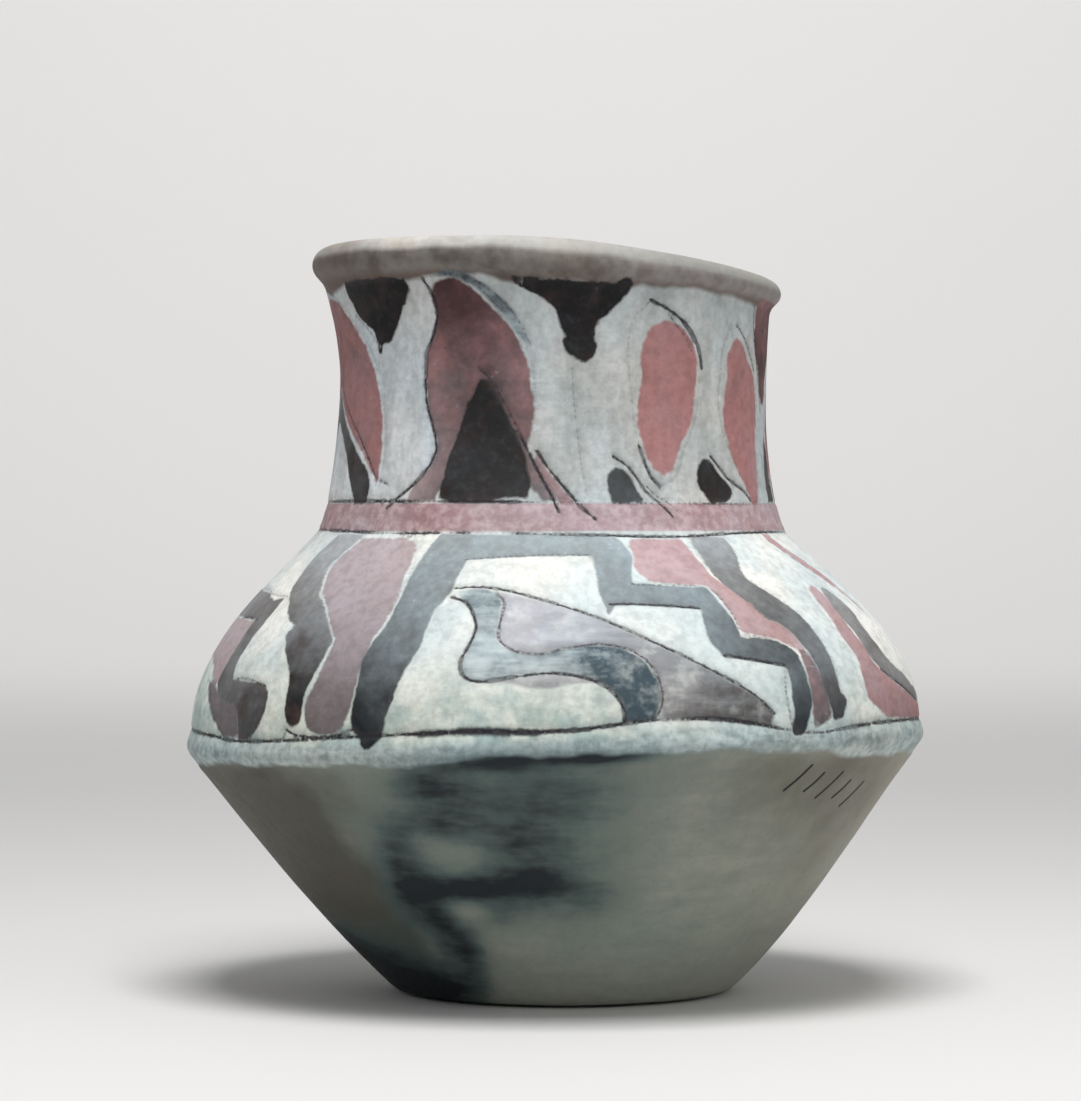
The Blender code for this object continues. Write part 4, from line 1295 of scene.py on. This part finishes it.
def blackened(n, colour):
    """Resin black over a colour, grey where thin, partly wear and partly painted sheen; and where it lies."""
    inside, depth, blueness = n.parts("black_paint")
    mask = n.between(n.plus(n.plus(inside, 0.4), n.ragged), -0.5, 0.5)
    steady = n.between(depth, 0.8, 1.0, 1.0, 0.15)
    broadly = n.between(n.broad, 0.3, 0.7, -0.16, 0.12, False)
    uneven = n.plus(broadly, n.between(n.middling, 0.3, 0.7, -0.16, 0.14, False))
    depth = n.plus(depth, n.times(uneven, steady), True)
    # Grey of thin black: partly wear, partly painted sheen where the shoulder's blacks thin towards the top.
    thin = n.mix(blueness, (0.43, 0.425, 0.425), (0.35, 0.42, 0.44))
    deep = n.mottled(n.middling, 0.4, 0.7, (0.006, 0.006, 0.0075), (0.024, 0.015, 0.013))
    deep = n.layered(deep, (n.fine, 0.5, 0.75, 0.5, (0.030, 0.031, 0.040)))
    deep = n.mix(n.times(blueness, 0.8), deep, (0.012, 0.019, 0.025))
    black = n.mix(depth, thin, deep)
    rusty = n.times(n.between(n.middling, 0.45, 0.75, 0.0, 0.6), n.between(n.height, 84.0, 96.0, 1.0, 0.15))
    rusty = n.times(rusty, n.between(blueness, 0.0, 0.9, 1.0, 0.25))
    black = n.mix(rusty, black, n.mix(0.5, black, (0.10, 0.06, 0.045)))
    scuffed = n.plus(n.plus(n.fine, n.times(n.grain, 0.5)), n.between(depth, 0.2, 0.6, 0.1, 0.0))
    wear = n.between(scuffed, 0.98, 1.2, 1.0, 0.6)
    return n.mix(n.times(mask, wear), colour, black), mask


def lined(n, colour):
    """A colour with dirt in the pressed lines, in dashes where there is little of it, and solid pen ink."""
    away, run, ink = n.parts("pressed_line")
    wandering = n.plus(run, n.between(n.middling, 0.2, 0.8, -2.0, 2.0, False))
    strands = n.result("SINE", n.times(wandering, 2 * math.pi / CORD_TWIST))
    patchy = n.plus(n.times(strands, n.between(ink, 0.3, 0.8, 0.2, 0.04)), n.middling)
    frayed = n.between(n.fine, 0.2, 0.8, -0.3, 0.3)
    patchy = n.plus(patchy, frayed)
    gap, full = n.between(ink, 0.2, 0.9, 0.35, 0.2), n.between(ink, 0.2, 0.9, 0.8, 0.6)
    dash = n.between(patchy, gap, full, n.between(ink, 0.3, 1.4, 0.15, 0.9))
    broader = n.between(ink, 1.2, 1.9, 0.0, 0.7, False)
    width = n.plus(n.between(ink, 0.2, 1.3, 0.26, 0.88, False), broader)
    ragged_away = n.plus(n.plus(away, frayed), n.between(n.middling, 0.25, 0.75, -0.2, 0.2))
    thin = n.between(ragged_away, n.times(width, 0.3), n.plus(width, 0.2), 1.0, 0.0)
    strength = n.between(ink, 0.0, 0.75, 0.0, 1.0, False)
    strength = n.times(strength, n.between(ink, 1.95, 2.1, 1.0, 0.0))
    halo = n.times(n.between(away, 0.3, 2.2, 0.3, 0.0), n.times(strength, n.middling))
    colour = n.mix(halo, colour, (0.14, 0.13, 0.13))
    dirt = n.mix(n.middling, (0.012, 0.014, 0.024), (0.045, 0.038, 0.04))
    colour = n.mix(n.times(n.times(thin, strength), dash), colour, dirt)
    pen = n.times(n.between(ink, 2.0, 2.6), n.between(away, 0.35, 0.75, 1.0, 0.0))
    return n.mix(pen, colour, (0.012, 0.009, 0.009))


def painted_clay():
    """Fired clay under chalky white slip, earth reds, resin black and dirt in the pressed lines."""
    n = VaseNodes()
    slip_mask = n.between(n.plus(n.slip_in, n.between(n.broad, 0.3, 0.7, -1.3, 1.3)), -0.9, 0.9)
    colour = n.mix(slip_mask, bare_clay(n), white_slip(n))
    colour, black_mask = blackened(n, reddened(n, with_collar(n, washed(n, colour))))

    # The hand's brush leaves everything a little blotched.
    blotched = n.times(n.between(n.fine, 0.3, 0.7, 0.86, 1.10), n.between(n.middling, 0.3, 0.7, 0.90, 1.08))
    colour = n.mix(n.between(slip_mask, 0.0, 1.0, 0.45, 1.0), colour, blotched, "MULTIPLY")
    cool_and_warm = n.mottled(n.broad, 0.35, 0.65, (0.96, 1.0, 1.03), (1.015, 1.0, 0.985))
    colour = n.mix(1.0, colour, cool_and_warm, "MULTIPLY")
    n.join(lined(n, colour), n.shader.inputs["Base Color"])

    # Sheen: chalky slip and reds, satin black, smoothed clay.
    rough = n.minus(n.between(n.fine, 0.2, 0.8, 0.62, 0.78), n.times(black_mask, 0.16))
    rough = n.minus(rough, n.times(n.minus(1.0, slip_mask), 0.1))
    n.join(rough, n.shader.inputs["Roughness"])
    n.shader.inputs["Specular IOR Level"].default_value = 0.22

    unevenness = n.plus(n.times(n.fine, 0.5), n.times(n.brushed, 0.8))
    bump = n.add("ShaderNodeBump")
    bump.inputs["Strength"].default_value = 0.4
    bump.inputs["Distance"].default_value = 0.0006
    n.join(n.plus(unevenness, n.times(n.grain, 0.25)), bump.inputs["Height"])
    n.join(bump.outputs[0], n.shader.inputs["Normal"])
    return n.material


# The rings of the floor's flat stretch, in metres, and the sweep up from it.
FLOOR_RADII = (0.6, 1.4, 2.6)
SWEEP_RADIUS = 1.8
SWEEP_TURNS = np.linspace(0.12, 1.45, 14)
FLOOR_COLUMNS = 96
FLOOR_GAP = 0.0004


def pale_studio():
    """A pale matt floor that sweeps up into a soft surround, well outside every camera."""
    n = Nodes("pale_floor")
    n.join((0.72, 0.71, 0.70), n.shader.inputs["Base Color"])
    n.shader.inputs["Roughness"].default_value = 0.8
    profile = [(radius, 0.0) for radius in FLOOR_RADII]
    profile += [(FLOOR_RADII[-1] + SWEEP_RADIUS * math.sin(a), SWEEP_RADIUS - SWEEP_RADIUS * math.cos(a))
                for a in SWEEP_TURNS]
    count = FLOOR_COLUMNS
    turns = 2 * math.pi * np.arange(count) / count
    places = [(0.0, 0.0, -FLOOR_GAP)]
    places += [(r * math.cos(t), r * math.sin(t), z - FLOOR_GAP) for r, z in profile for t in turns]
    faces = [(0, 1 + i, 1 + (i + 1) % count) for i in range(count)]
    for ring in range(len(profile) - 1):
        a, b = 1 + ring * count, 1 + (ring + 1) * count
        faces += [(a + i, b + i, b + (i + 1) % count, a + (i + 1) % count) for i in range(count)]
    mesh = bpy.data.meshes.new("floor")
    mesh.from_pydata(places, [], faces)
    mesh.shade_smooth()
    mesh.materials.append(n.material)
    floor = in_scene("floor", mesh)


# The photograph's frame and camera.
FRAME_WIDTH = 1081
FRAME_HEIGHT = 1101
FOCAL_PIXELS = 4200.0
CAMERA_DISTANCE = 1.2537
CAMERA_HEIGHT = 0.1427
AXIS_COLUMN = 555.0
HORIZON_ROW = 510.0
SENSOR = 36.0


def photographed_view():
    """The camera at the photograph's place: level with the shoulder, a long lens, aimed a hair down."""
    data = bpy.data.cameras.new("camera")
    data.sensor_width = SENSOR
    data.lens = FOCAL_PIXELS / FRAME_HEIGHT * SENSOR
    camera = in_scene("camera", data)
    aside = (AXIS_COLUMN - FRAME_WIDTH / 2) / FOCAL_PIXELS * CAMERA_DISTANCE
    down = math.atan((FRAME_HEIGHT / 2 - HORIZON_ROW) / FOCAL_PIXELS)
    camera.location = (-aside, -CAMERA_DISTANCE, CAMERA_HEIGHT)
    camera.rotation_euler = (math.pi / 2 - down, 0.0, 0.0)
    bpy.context.scene.camera = camera


# Square lights: name, place and aim in metres, side in metres, and power in watts.
LIGHTS = (
    ("overhead", (0.03, -0.42, 1.28), (0, 0, 0.14), 0.6, 16.0),
    ("right", (1.15, -0.85, 0.6), (0, 0, 0.1), 0.8, 2.0),
    ("backdrop", (0.0, 2.2, 2.6), (0, 4.2, 1.2), 1.5, 50.0),
)


def soft_light(name, place, aim, size, power):
    data = bpy.data.lights.new(name, "AREA")
    data.shape = "SQUARE"
    data.size = size
    data.energy = power
    light = in_scene(name, data)
    light.location = place
    light.rotation_euler = (Vector(aim) - Vector(place)).to_track_quat("-Z", "Y").to_euler()


def studio():
    world = bpy.data.worlds.new("studio")
    world.use_nodes = True
    background = world.node_tree.nodes["Background"]
    background.inputs["Color"].default_value = (0.98, 0.99, 1.0, 1.0)
    background.inputs["Strength"].default_value = 0.38
    bpy.context.scene.world = world
    bpy.context.scene.view_settings.view_transform = "Standard"
    for light in LIGHTS:
        soft_light(*light)


def main():
    photographed_view()
    studio()
    pale_studio()
    vase = vase_piece(painted_clay())
    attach(vase, "root")
    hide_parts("vase")


main()
